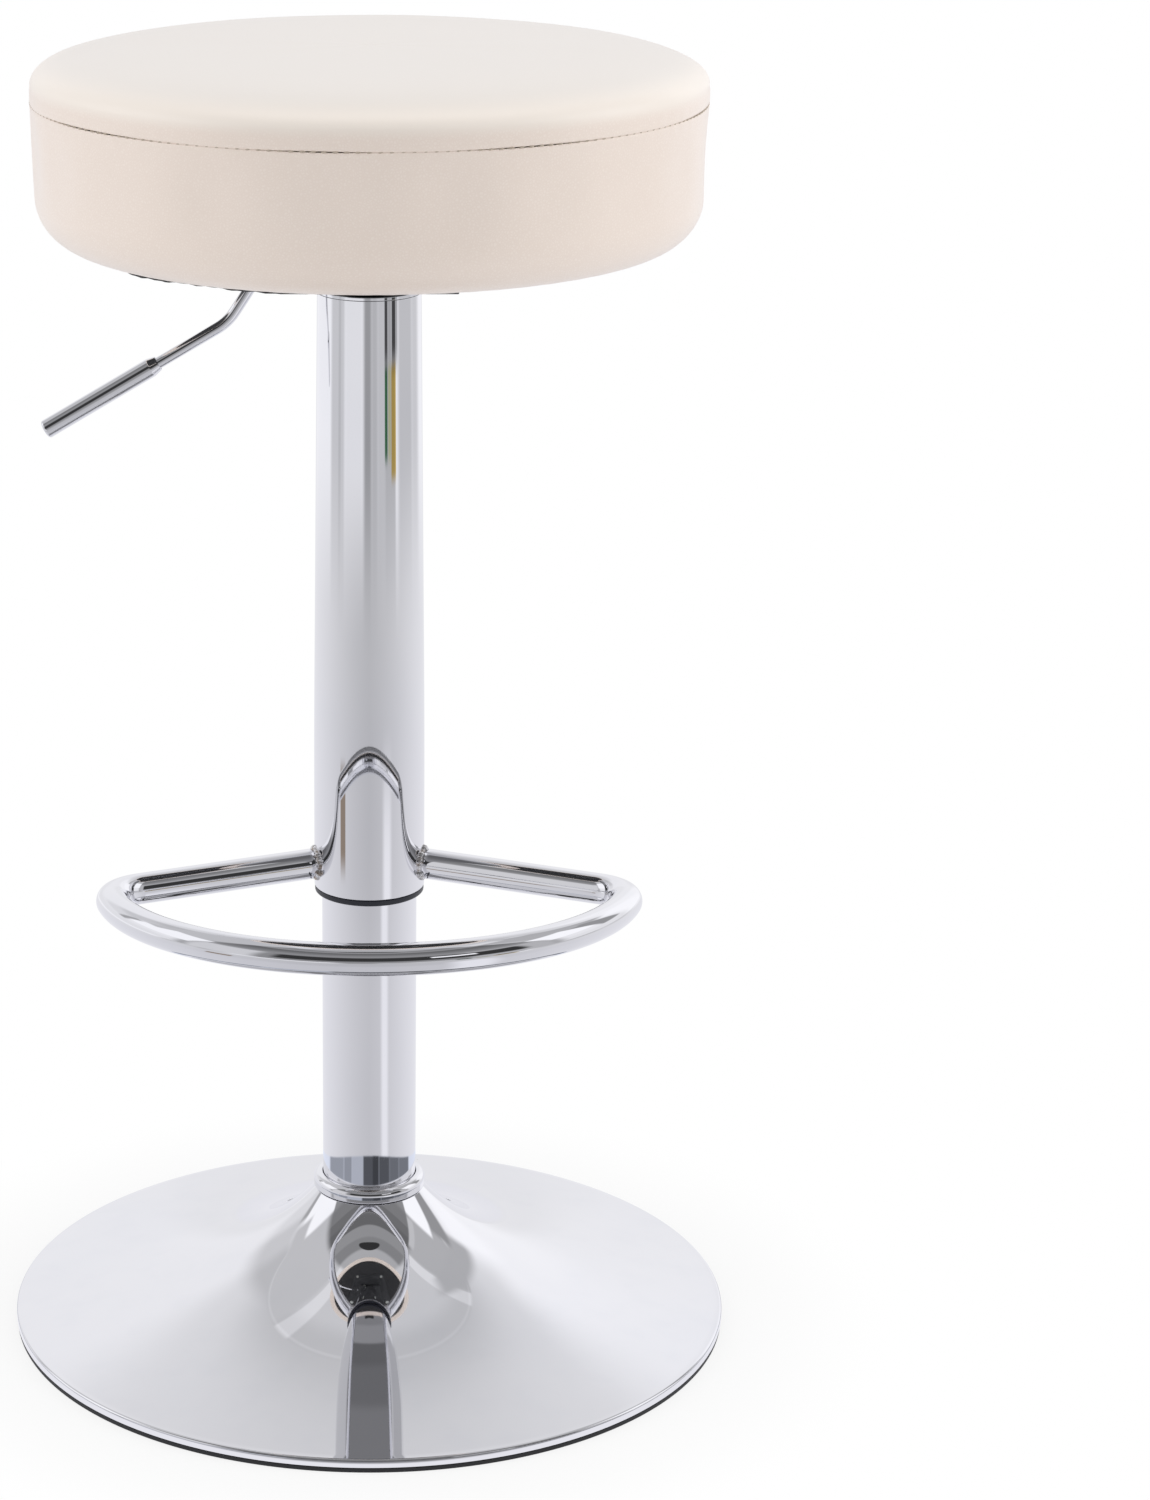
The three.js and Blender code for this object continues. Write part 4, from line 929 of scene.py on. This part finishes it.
# Footrest: two arms, a tight bend at each and a curved front bar, in a plane that rises to the front
footrestShape = {
    "radius": 0.134,      # of the front bar's centre line
    "forward": 0.0546,    # from the column's axis to the centre of that curve
    "tube": 0.008, "bend": 0.0255, "armOrigin": 0.0107, "sweepDegrees": 30,
    "height": 0.0123,     # of the plane above the upper tube's bottom edge, at the column's axis
    "tiltDegrees": 4.65, "sides": 40, "armSteps": 10, "bendSteps": 20, "frontSteps": 90,
    "bead": 0.0019, "beadSteps": 200, "beadSides": 12, "beadRipples": 17, "beadSink": 0.0007,
    "armInset": 0.8,      # where the arms start, as a share of the upper tube's radius
}


def inPlane(points):
    # points of the footrest's own plane, tilted about X and raised to its height on the column
    tilt = math.radians(footrestShape["tiltDegrees"])
    x, y = points[..., 0], points[..., 1]
    return np.stack([x, y * math.cos(tilt), -y * math.sin(tilt)], -1)


def footrestPath():
    # arm, bend and front bar on the right, and their mirror image on the left
    shape = footrestShape
    sweep = math.radians(shape["sweepDegrees"])
    normal = np.array([math.sin(sweep), math.cos(sweep)])
    along = np.array([math.cos(sweep), -math.sin(sweep)])
    front = np.array([0, -shape["forward"]])
    distance = shape["armOrigin"] * math.cos(sweep) - shape["bend"]
    offLine = distance - front @ normal
    reach = front @ along + math.sqrt((shape["radius"] - shape["bend"]) ** 2 - offLine ** 2)
    centre = normal * distance + along * reach
    joinAngle = math.atan2(*(centre - front)[::-1])
    armEnd = centre + normal * shape["bend"]
    start = armEnd - along * (reach - high("upper_tube")[0] * shape["armInset"])
    arm = start + (armEnd - start) * np.linspace(0, 1, shape["armSteps"], endpoint=False)[:, None]
    bend = arcPoints(centre, shape["bend"], quarterTurn - sweep, joinAngle, shape["bendSteps"] + 1)[:-1]
    bar = arcPoints(front, shape["radius"], joinAngle, -quarterTurn, shape["frontSteps"])
    right = np.vstack([arm, bend, bar])
    path = inPlane(np.vstack([right, right[-2::-1] * (-1, 1)]))
    path[:, 2] += low("upper_tube")[2] + shape["height"]
    return path, inPlane(along)


def slidTo(column, points, line):
    # each point moved along a line until it is as far from the column's axis as asked
    across = line[:2] @ line[:2]
    inward = points[:, :2] @ line[:2]
    beyond = np.sum(points[:, :2] ** 2, 1) - column ** 2
    return points + ((np.sqrt(inward ** 2 - across * beyond) - inward) / across)[:, None] * line


def makeFootrest():
    shape = footrestShape
    path, along = footrestPath()
    tilt = math.radians(shape["tiltDegrees"])
    upward = np.array([0, math.sin(tilt), math.cos(tilt)])
    grid = sweptGrid(path, shape["tube"], shape["sides"], upward)
    skin = high("upper_tube")[0]
    # each end ring slides along its arm until it lies inside the upper tube's wall
    for end, side, name in ((0, 1, "right"), (-1, -1, "left")):
        line = along * (side, 1, 1)
        grid[end] = slidTo(skin - columnShape["upperWall"] / 2, grid[end], line)
        makeWeld(name, side, path[end], line, upward, skin)
    addPiece("footrest_bar", capped("footrestBar", grid), "seat", "chrome", ["footrest"])


def makeWeld(name, side, start, line, upward, skin):
    # a lumpy bead on the line where an arm's skin meets the upper tube:
    # radius = bead (0.78 + 0.34 |sin ripples|) (1 + 0.22 sin 5 turn + 0.14 sin 9 turn)
    shape = footrestShape
    turn = np.linspace(0, fullTurn, shape["beadSteps"], endpoint=False)[:, None]
    spread = np.cos(turn) * np.cross(upward, line) + np.sin(turn) * upward
    path = slidTo(skin, start + shape["tube"] * spread, line) - spread * shape["beadSink"]
    turn = turn[:, 0]
    ripple = np.abs(np.sin(turn * shape["beadRipples"] / 2 + 1.3 * np.sin(turn * 3 + side)))
    uneven = 1 + 0.22 * np.sin(turn * 5 + side) + 0.14 * np.sin(turn * 9)
    radii = shape["bead"] * (0.78 + 0.34 * ripple) * uneven
    grid = sweptGrid(path, radii, shape["beadSides"], spread, closed=True)
    mesh = gridMesh("weld", grid, closeRows=True)
    addPiece("footrest_weld_" + name, mesh, "seat", "chrome", finish=weldFinish)


makeFootrest()
print("footrest made")


# Release lever: bent rod, sleeve on the pivot pin, tongue over the valve and grip
leverShape = {
    "rod": 0.003, "reach": 0.032, "drop": 0.036, "arm": 0.1095, "steepDegrees": 57,
    "shallowDegrees": 30.8, "bend": 0.011, "kneeBend": 0.028, "sides": 32, "bendSteps": 16,
    "grip": 0.0049, "gripLength": 0.068, "gripRound": 0.0014, "crimp": 0.0038, "crimpLength": 0.0045,
    "tipInset": 0.0033, "gripCap": 0.003, "gripNeck": 0.0004, "gripTaper": 0.003, "edge": 0.0004,
    "sleeve": 0.006, "sleeveSides": 48, "pin": 0.003,
    "tongueWidth": 0.010, "tongueThickness": 0.005, "tongueTip": 0.006, "tongueSteps": 17,
    "tongueLevels": (1, 0.84, -0.84, -1), "tongueWidths": (0.94, 1, 1, 0.94), "tongueSharp": 50,
}


def leverPoints():
    # corner, knee and end of the lever in the XZ plane
    shape = leverShape
    pivot = np.array(joints["lever_pull"]["pos_m"])
    steep, shallow = math.radians(shape["steepDegrees"]), math.radians(shape["shallowDegrees"])
    corner = pivot - np.array([shape["reach"], 0, 0])
    knee = corner - shape["drop"] * np.array([math.cos(steep), 0, math.sin(steep)])
    arm = -np.array([math.cos(shallow), 0, math.sin(shallow)])
    return pivot, corner, knee, arm, knee + shape["arm"] * arm


def bentCorner(before, corner, after, bend, steps):
    # a parabola from one straight run to the next: (1-t)^2 start + 2 t (1-t) corner + t^2 end
    toBefore = (before - corner) / np.linalg.norm(before - corner)
    toAfter = (after - corner) / np.linalg.norm(after - corner)
    turn = math.pi - math.acos(toBefore @ toAfter)
    cut = bend * math.tan(turn / 2)
    share = np.linspace(0, 1, steps)[:, None]
    start, end = corner + toBefore * cut, corner + toAfter * cut
    return (1 - share) ** 2 * start + 2 * share * (1 - share) * corner + share ** 2 * end


def makeLever():
    shape = leverShape
    pivot, corner, knee, arm, end = leverPoints()
    first = bentCorner(pivot, corner, knee, shape["bend"], shape["bendSteps"])
    second = bentCorner(corner, knee, end, shape["kneeBend"], shape["bendSteps"])
    tip = end - arm * shape["tipInset"]
    straight = second[-1] + (tip - second[-1]) * np.linspace(0.1, 1, 8)[:, None]
    path = np.vstack([pivot, pivot + (first[0] - pivot) * 0.5, first, second, straight])
    grid = sweptGrid(path, shape["rod"], shape["sides"], (0, 1, 0))
    addPiece("lever_rod", capped("leverRod", grid), "lever", "chrome", ["release_lever"])
    half = high("release_lever")[1]
    profile = ringProfile(shape["pin"] + seating, shape["sleeve"], -half, half, shape["edge"])
    mesh = turned("leverSleeve", profile, shape["sleeveSides"])
    mesh = placed(mesh, pivot, ((1, 0, 0), (0, 0, -1), (0, 1, 0)))
    addPiece("lever_sleeve", mesh, "lever", "bare_steel")
    makeTongue(pivot)
    makeGrip(end, arm)


def makeTongue(pivot):
    # flat bar with a round end, its edges broken
    shape = leverShape
    half, thick = shape["tongueWidth"] / 2, shape["tongueThickness"] / 2
    reach = -pivot[0] + shape["tongueTip"] - half
    outline = arcPoints((reach, 0), half, -quarterTurn, quarterTurn, shape["tongueSteps"])
    outline = np.vstack([[shape["pin"], -half], outline, [shape["pin"], half]])
    centre = np.array([reach * 0.6, 0])
    level = np.array(shape["tongueLevels"])[:, None, None]
    width = np.array(shape["tongueWidths"])[:, None, None]
    flat = centre + (outline - centre) * width
    grid = np.concatenate([flat, level * thick + 0 * flat[..., :1]], -1)
    mesh = capped("leverTongue", grid + pivot + (0, 0, thick - shape["rod"]))
    mesh.set_sharp_from_angle(angle=math.radians(shape["tongueSharp"]))
    addPiece("lever_tongue", mesh, "lever", "bare_steel")


def makeGrip(end, arm):
    # a sleeve crimped on the rod, with a closed end: its profile is turned from the end's middle
    shape = leverShape
    length, radius, bore = shape["gripLength"], shape["grip"], shape["rod"] + seating
    inside, neck = length - shape["gripCap"], shape["gripNeck"]
    profile = filleted([
        (bore, 0, neck / 2), (shape["crimp"], 0, neck), (radius, shape["crimpLength"], shape["gripTaper"]),
        (radius, length, shape["gripRound"]), (0, length, 0), (0, inside, 0), (bore, inside, 0),
    ], 6)
    turnPoint = int(np.argmax((profile[:, 0] == 0) & (profile[:, 1] == length)))
    profile = np.roll(profile, -turnPoint - 1, 0)
    side = np.array([0, 1, 0])
    axes = (np.cross(side, arm), side, arm)
    mesh = placed(turned("leverGrip", profile, shape["sleeveSides"]), end - arm * length, axes)
    addPiece("lever_grip_sleeve", mesh, "lever", "chrome", ["lever_grip"])


makeLever()
print("lever made")


# Seat hardware that shows from below
hardwareShape = {
    "hubBore": 0.0135, "hubEdge": 0.0008, "hubFoot": 0.00144, "flange": 0.002, "sides": 96,
    "capEdge": 0.0003, "flangeUnder": 0.00012, "flangeOver": 0.0006, "capTop": 0.0004,
    "washerBore": 0.0033, "boreEdge": 0.0001, "washerEdge": 0.0003, "washerSides": 40,
    "boltEdge": 0.0004, "plateEdge": 0.0005,
}


def makeHub():
    # hub sleeve, and the cap round it that centres the upper tube
    shape = hardwareShape
    outer, bottom, top = extent("lift_hub")
    bore, edge = shape["hubBore"], shape["hubEdge"]
    profile = filleted([
        (bore, bottom, edge), (outer, bottom, shape["hubFoot"]), (outer, top, edge), (bore, top, edge),
    ])
    addTurned("hub_sleeve", profile, shape["sides"], "seat", "bare_steel", ["lift_hub"])
    inner = outer + seating
    spigot = high("lower_tube")[0] + columnShape["topGap"] - seating
    flange, bottom, top = extent("tube_cap")
    shelf, edge = top - shape["flange"], shape["capEdge"]
    profile = filleted([
        (inner, bottom, edge), (spigot, bottom, edge), (spigot, shelf, 0),
        (flange, shelf, shape["flangeUnder"]), (flange, top, shape["flangeOver"]),
        (inner, top, shape["capTop"]),
    ])
    addTurned("cap_ring", profile, shape["sides"], "seat", "bare_steel", ["tube_cap"], finishes["chrome"])


def makeHardware():
    shape = hardwareShape
    for number in range(1, 5):
        bolt, washer = f"seat_bolt_{number}", f"bolt_washer_{number}"
        outer, _, thick = (high(washer) - low(washer)) / 2
        edges = shape["boreEdge"], shape["washerEdge"]
        profile = ringProfile(shape["washerBore"], outer, -thick, thick, *edges, steps=3)
        mesh = placed(turned("washer", profile, shape["washerSides"]), (low(washer) + high(washer)) / 2)
        addPiece(f"washer_{number}", mesh, "seat", "zinc_fastener", [washer])
        mesh = softCopy("bolt", bolt, shape["boltEdge"])
        addPiece(f"bolt_{number}", mesh, "seat", "zinc_fastener", [bolt])
    for name, node in (("bracket_channel", "seat_bracket"), ("mounting_plate", "seat_plate")):
        addPiece(name, softCopy(name, node, shape["plateEdge"]), "seat", "black_enamel", [node])


makeHub()
makeHardware()
print("hardware made")


# Seat: two sewn panels of leathercloth drawn over foam
seatShape = {
    "drawIn": 0.0015, "corner": 0.023, "seam": 0.0699, "edge": 0.0768, "crown": 0.0195,
    "crownOut": 2 / 5.2, "crownUp": 2 / 2.58, "cover": 0.0012, "tuck": 0.016, "sag": 0.0006,
    "seamDepth": 0.0016, "seamRound": 0.0009, "columns": 360, "topRows": 90, "bandRows": 80,
    "coarseColumns": 96, "coarseTopRows": 26, "coarseBandRows": 24, "bendWeight": 0.006,
    "coarseBendWeight": 0.02, "lip": 0.0001, "lipSteps": 12, "wallSteps": 12, "crownSteps": 400,
    "sideSteps": 40, "cornerSteps": 60, "tuckSteps": 20, "sagFade": 20,
}
clothSettings = {
    "pressure": 4.0, "frames": 20, "cap": 0.0025, "tension": 40.0, "bending": 2.0, "quality": 6, "mass": 0.2,
    "heldTop": range(5), "heldBand": (*range(4), *range(-5, 0)),  # rows of the coarse grids
}


def resampled(line, rows, bendWeight):
    # evenly spaced points, closer together where the line bends
    step = np.diff(line, axis=0)
    length = np.linalg.norm(step, axis=1)
    heading = np.unwrap(np.arctan2(step[:, 1], step[:, 0]))
    turn = np.abs(np.gradient(heading))
    place = np.concatenate([[0], np.cumsum(length + bendWeight * turn)])
    wanted = np.linspace(0, place[-1], rows)
    return np.stack([np.interp(wanted, place, line[:, 0]), np.interp(wanted, place, line[:, 1])], -1)


def seatProfiles():
    # outer lines of the top panel, from seam to middle, and of the band, from seam to tucked edge;
    # crown: out = radius cos(turn)^crownOut, up = crown sin(turn)^crownUp
    shape = seatShape
    radius = high("seat_cover_top")[0]
    under = low("seat_cover_band")[2]
    seam = under + shape["seam"]
    turn = np.linspace(0, quarterTurn, shape["crownSteps"])
    out, rise = np.cos(turn) ** shape["crownOut"], np.sin(turn) ** shape["crownUp"]
    crown = np.stack([radius * out, under + shape["edge"] + shape["crown"] * rise], -1)
    crown[-1, 0] = 0
    small, depth, steps = shape["seamRound"], shape["seamDepth"], shape["lipSteps"]
    lip = arcPoints((radius - small, seam + small), small, -quarterTurn, 0, steps)
    lip = np.vstack([[radius - depth, seam + shape["lip"]], lip])
    climb = np.linspace(seam + small, under + shape["edge"], shape["wallSteps"])[1:-1]
    top = np.vstack([lip, np.stack([0 * climb + radius, climb], -1), crown])
    cornerRadius = shape["corner"]
    centre = radius - shape["drawIn"] - cornerRadius
    lip = arcPoints((radius - small, seam - small), small, quarterTurn, 0, steps)
    lip = np.vstack([[radius - depth, seam - shape["lip"]], lip])
    share = np.linspace(0, 1, shape["sideSteps"])[1:-1, None]
    sideTop, sideBottom = seam - small, under + cornerRadius
    side = np.hstack([radius - shape["drawIn"] * share, sideTop + (sideBottom - sideTop) * share])
    corner = arcPoints((centre, sideBottom), cornerRadius, 0, -quarterTurn, shape["cornerSteps"])
    corner[:, 1] -= shape["sag"] * ((corner[:, 1] - sideBottom) / cornerRadius) ** 4
    inward = np.linspace(0, 1, shape["tuckSteps"])[1:] ** 2
    fade = np.exp(-inward * shape["sagFade"])
    tuck = np.stack([centre - shape["tuck"] * inward, under - shape["sag"] * fade], -1)
    band = np.vstack([lip, side, corner, tuck])
    return top, band, seam, under


def blendAlong(field, places, wrap):
    # uniform cubic B-spline through a field's first axis, read at the given places
    count = len(field)
    base = np.floor(places).astype(int)
    t = places - base
    weights = ((1 - t) ** 3 / 6, (3 * t ** 3 - 6 * t ** 2 + 4) / 6,
               (-3 * t ** 3 + 3 * t ** 2 + 3 * t + 1) / 6, t ** 3 / 6)
    total = 0
    for offset, weight in zip((-1, 0, 1, 2), weights):
        index = (base + offset) % count if wrap else np.clip(base + offset, 0, count - 1)
        total = total + weight.reshape(-1, *[1] * (field.ndim - 1)) * field[index]
    return total


def pressedOut(name, line, rows, columns, heldRows):
    # one panel as a sheet of cloth with air behind it: how far each point of its grid moves
    grid = turnedGrid(resampled(line, rows, seatShape["coarseBendWeight"]), columns)
    faces = gridFaces(rows, columns, False)[:, ::-1]
    sheet = linked(name, newMesh(name, grid.reshape(-1, 3), faces.tolist()))
    held = sheet.vertex_groups.new(name="held")
    index = np.arange(rows * columns).reshape(rows, columns)
    held.add(index[list(heldRows)].ravel().tolist(), 1.0, "REPLACE")
    cloth = sheet.modifiers.new("cloth", "CLOTH")
    settings = cloth.settings
    settings.quality, settings.mass = clothSettings["quality"], clothSettings["mass"]
    settings.tension_stiffness = settings.compression_stiffness = clothSettings["tension"]
    settings.bending_stiffness = clothSettings["bending"]
    settings.use_pressure = True
    settings.uniform_pressure_force = clothSettings["pressure"]
    settings.vertex_group_mass = "held"
    settings.effector_weights.gravity = 0
    cloth.point_cache.frame_start = 1
    cloth.point_cache.frame_end = clothSettings["frames"]
    for number in range(1, clothSettings["frames"] + 1):
        scene.frame_set(number)
    result = sheet.evaluated_get(bpy.context.evaluated_depsgraph_get()).to_mesh()
    points = np.empty(rows * columns * 3)
    result.vertices.foreach_get("co", points)
    moved = points.reshape(rows, columns, 3) - grid
    scene.frame_set(1)
    bpy.data.objects.remove(sheet)
    far = np.linalg.norm(moved, axis=2, keepdims=True)
    print(name, "moved at most", round(float(far.max()) * 1000, 2), "mm")
    return moved * np.minimum(1, clothSettings["cap"] / np.maximum(far, 1e-9))


def gridNormals(grid):
    # outward normals of a turned grid, from its row and column steps
    along = np.gradient(grid, axis=0)
    around = np.roll(grid, -1, 1) - np.roll(grid, 1, 1)
    normal = np.cross(along, around)
    return normal / np.maximum(np.linalg.norm(normal, axis=2, keepdims=True), 1e-12)


def makePanel(line, rows, coarseRows, held):
    # a panel's fine outer grid: the profile turned, plus what the cloth simulation moved
    shape = seatShape
    columns = shape["columns"]
    fineLine = resampled(line, rows, shape["bendWeight"])
    grid = turnedGrid(fineLine, columns)
    moved = pressedOut("panelSheet", line, coarseRows, shape["coarseColumns"], held)
    # the fine rows' places on the coarse rows, matched by length along the profile
    coarseLine = resampled(line, coarseRows, shape["coarseBendWeight"])
    places = np.interp(runLength(fineLine), runLength(coarseLine), np.arange(coarseRows))
    moved = blendAlong(moved, places, False)
    around = np.arange(columns) * shape["coarseColumns"] / columns
    moved = blendAlong(moved.transpose(1, 0, 2), around, True).transpose(1, 0, 2)
    grid = grid + moved
    return grid


def runLength(line):
    return np.concatenate([[0], np.cumsum(np.linalg.norm(np.diff(line, axis=0), axis=1))])


puckerShape = {"wave": 0.00012, "from": 0.003, "width": 0.0028, "slow": 0.00025, "slowWidth": 0.02}


def puckers(grid, seam):
    # small gathers beside the seam: wave sin(88 angle) e^(-((drop - from) / width)^2), and slower ones
    shape = puckerShape
    angle = bearingAngle(grid)
    drop = np.abs(grid[..., 2] - seam)
    wave = np.sin(angle * 88 + 2 * np.sin(angle * 5)) * (0.6 + 0.4 * np.sin(angle * 7 + 1))
    wave = wave * np.exp(-((drop - shape["from"]) / shape["width"]) ** 2) * shape["wave"]
    slow = shape["slow"] * np.sin(angle * 9 + 0.6 * np.sin(angle * 4))
    return wave + slow * np.exp(-(drop / shape["slowWidth"]) ** 2)


foldShape = {
    "height": 0.0077, "waver": 0.0003, "depth": 0.00045, "width": 0.0007, "front": 0.25, "rimRadius": 0.15,
}


def sideFold(grid, seam):
    # a shallow fold where the top panel turns over the foam, deepest at the sides:
    # -depth e^(-(height / width)^2)
    shape = foldShape
    angle = bearingAngle(grid)
    sideways = shape["front"] + (1 - shape["front"]) * np.sin(angle) ** 4
    height = grid[..., 2] - seam - shape["height"] - shape["waver"] * np.sin(angle * 6)
    inRim = np.hypot(grid[..., 0], grid[..., 1]) > shape["rimRadius"]
    return -shape["depth"] * np.exp(-(height / shape["width"]) ** 2) * sideways * inRim


gatherShape = {"outside": 0.012, "span": 0.028, "reach": 0.02, "depth": 0.0005}


def gathers(grid, under):
    # pleats where the band is pulled in under the board: -depth pull^1.5 (1 + sin(64 angle)) / 2
    shape = gatherShape
    angle = bearingAngle(grid)
    start = high("seat_cover_band")[0] - seatShape["corner"] + shape["outside"]
    pull = np.clip((start - np.hypot(grid[..., 0], grid[..., 1])) / shape["span"], 0, 1)
    pull = pull * (grid[..., 2] < under + shape["reach"])
    pleat = (0.5 + 0.5 * np.sin(angle * 64 + 3 * np.sin(angle * 3))) * (1 + 0.4 * np.sin(angle * 11))
    return -shape["depth"] * pull ** 1.5 * pleat


def makeSeat():
    shape = seatShape
    top, band, seam, under = seatProfiles()
    grid = makePanel(top, shape["topRows"], shape["coarseTopRows"], clothSettings["heldTop"])[:-1]
    pole = np.array([0, 0, grid[-1, :, 2].mean()])
    normal = -gridNormals(grid)
    outer = grid + normal * (puckers(grid, seam) + sideFold(grid, seam))[..., None]
    inner = outer - normal * shape["cover"]
    inner[:, :, 2] = np.maximum(inner[:, :, 2], seam + shape["lip"])
    poles = [pole, pole - (0, 0, shape["cover"])]
    mesh = gridMesh("seatTop", np.vstack([outer[::-1], inner[1:]]), poles=poles)
    piece = addPiece("seat_top_panel", mesh, "seat", "cream_leather", ["seat_cover_top"])
    grid = makePanel(band, shape["bandRows"], shape["coarseBandRows"], clothSettings["heldBand"])
    normal = gridNormals(grid)
    outer = grid + normal * (puckers(grid, seam) + gathers(grid, under))[..., None]
    inner = outer - normal * shape["cover"]
    mesh = gridMesh("seatBand", np.vstack([outer, inner[::-1]]), closeRows=True)
    piece = addPiece("seat_band_panel", mesh, "seat", "cream_leather", ["seat_cover_band"])
    makeStitches(seam)


stitchShape = {
    "pitch": 0.0052, "length": 0.0036, "thread": 0.00042, "sides": 8, "steps": 9, "inset": 0.0003,
    "dive": 0.0012, "rise": 0.0006, "lean": 0.00012,
}


def makeStitches(seam):
    # threads that bridge the seam, short arcs that dive in at both ends:
    # depth = dive (1 - sin(pi share)^0.5), thickness = thread sin(pi share)^0.35
    shape = stitchShape
    radius = high("seat_cover_top")[0]
    count = int(fullTurn * radius / shape["pitch"])
    share = np.linspace(0, 1, shape["steps"])
    sag = np.sin(share * math.pi) ** 0.5
    thick = shape["thread"] * np.sin(np.clip(share, 0.03, 0.97) * math.pi) ** 0.35
    middle = np.arange(count)[:, None] * fullTurn / count
    lean = shape["lean"] * np.sin(np.arange(count) * 2.4)[:, None]
    angle = middle + (share - 0.5) * shape["length"] / radius
    depth = radius - shape["inset"] - (1 - sag) * shape["dive"]
    height = seam + (share - 0.5) * (shape["rise"] + lean)
    path = np.stack([depth * np.sin(angle), -depth * np.cos(angle), height + 0 * angle], -1)
    outward = np.stack([np.sin(angle), -np.cos(angle), 0 * angle], -1)
    upward = np.array([0, 0, 1])
    turn = np.linspace(0, fullTurn, shape["sides"], endpoint=False)
    ring = np.cos(turn)[:, None] * outward[..., None, :] + np.sin(turn)[:, None] * upward
    grid = path[..., None, :] + thick[None, :, None, None] * ring
    steps, sides = shape["steps"], shape["sides"]
    offsets = np.arange(count)[:, None] * steps * sides
    faces = (gridFaces(steps, sides, False) + offsets[..., None]).reshape(-1, 4).tolist()
    first = (np.arange(sides) + offsets).tolist()
    last = (np.arange(sides)[::-1] + (steps - 1) * sides + offsets).tolist()
    mesh = newMesh("stitches", grid.reshape(-1, 3), faces + first + last)
    mesh.shade_smooth()
    addPiece("seam_stitches", mesh, "seat", "cream_leather", finish=shadedThreadFinish)


makeSeat()
print("seat made")


# Foam inside the cover, and the cloth under the board
foamShape = {
    "groove": 0.0085, "footShare": 0.3, "bulge": 0.002, "bulgeRise": 0.02, "below": 0.0005, "every": 6,
    "sides": 96,
}


def makeFoamCore():
    # the top panel's crown drawn in to the foam's size, over a side with the seam's groove
    shape = foamShape
    radius, bottom, top = extent("seat_foam")
    outside = high("seat_cover_top")[0]
    line, _, seam, under = seatProfiles()
    crown = line[line[:, 1] > under + seatShape["edge"]][::shape["every"]] * (radius / outside, 1)
    crown[:, 1] = np.minimum(crown[:, 1] - (outside - radius), top)
    crown[-1, 0] = 0
    groove = seatShape["cover"] + 2 * seating
    depth = radius - shape["groove"]
    profile = [
        (0, bottom), (radius - seatShape["corner"] * shape["footShare"], bottom),
        (radius - shape["bulge"], bottom + shape["bulgeRise"]), (radius - shape["below"], seam - groove),
        (depth, seam - groove), (depth, seam + groove), (radius, seam + groove), *crown.tolist(),
    ]
    piece = addTurned("foam_core", profile, shape["sides"], "seat", "foam", ["seat_foam"])


dustShape = {
    "hemWidth": 0.004, "hemRaise": 0.0013, "rows": 24, "columns": 360, "edge": 0.0002,
    "slack": ((-50, 13, 0.0021), (-22, 12, 0.0013)),  # place and width in degrees, and drop
    "sheetRaise": 0.0001, "hemGap": 0.0004, "topRings": (0.75, 0.4, 0.1),
    "hemWaves": ((0.0002, 44, 0), (0.00018, 97, 1)),  # depth, count and shift
}


def makeDustCover():
    # a round of thin cloth under the board with a turned hem, which hangs slack at the left front:
    # hem drop = sum of drop e^(-((bearing - place) / width)^2), broken up by small waves along the hem
    shape = dustShape
    radius, bottom, top = extent("dust_cover")
    angle = np.linspace(0, fullTurn, shape["columns"], endpoint=False)
    bearing = np.degrees(np.arctan2(np.sin(angle), np.cos(angle)))
    hem = np.full_like(angle, bottom + shape["hemRaise"])
    for place, width, drop in shape["slack"]:
        hem -= drop * np.exp(-((bearing - place) / width) ** 2)
    for depth, count, shift in shape["hemWaves"]:
        hem += depth * np.sin(angle * count + shift)
    sheet = (bottom + top) / 2 + shape["sheetRaise"]
    inner, edge = radius - shape["hemWidth"], shape["edge"]
    out = np.linspace(0, 1, shape["rows"])[1:, None]
    ripples = 0.00012 * np.sin(angle * 44) * out ** 8 + 0.0001 * np.sin(angle * 7 + 9 * out) * out
    heights = np.vstack([
        sheet + ripples,
        [np.minimum(sheet, hem + edge), hem, hem, hem + edge],
        [np.full_like(angle, top - edge), np.full_like(angle, top)],
        np.full((3, shape["columns"]), top),
    ])
    widths = np.concatenate([
        (inner - shape["hemGap"]) * out[:, 0], [inner, inner + edge, radius - edge, radius],
        [radius, radius - edge], radius * np.array(shape["topRings"]),
    ])[:, None]
    grid = np.stack([widths * np.sin(angle), -widths * np.cos(angle), heights], -1)[::-1]
    mesh = gridMesh("dustCloth", grid, poles=[(0, 0, top), (0, 0, sheet)])
    addPiece("dust_cloth", mesh, "seat", "black_cloth", ["dust_cover"])


makeFoamCore()
makeDustCover()
print("cloth made")

print("all pieces made")
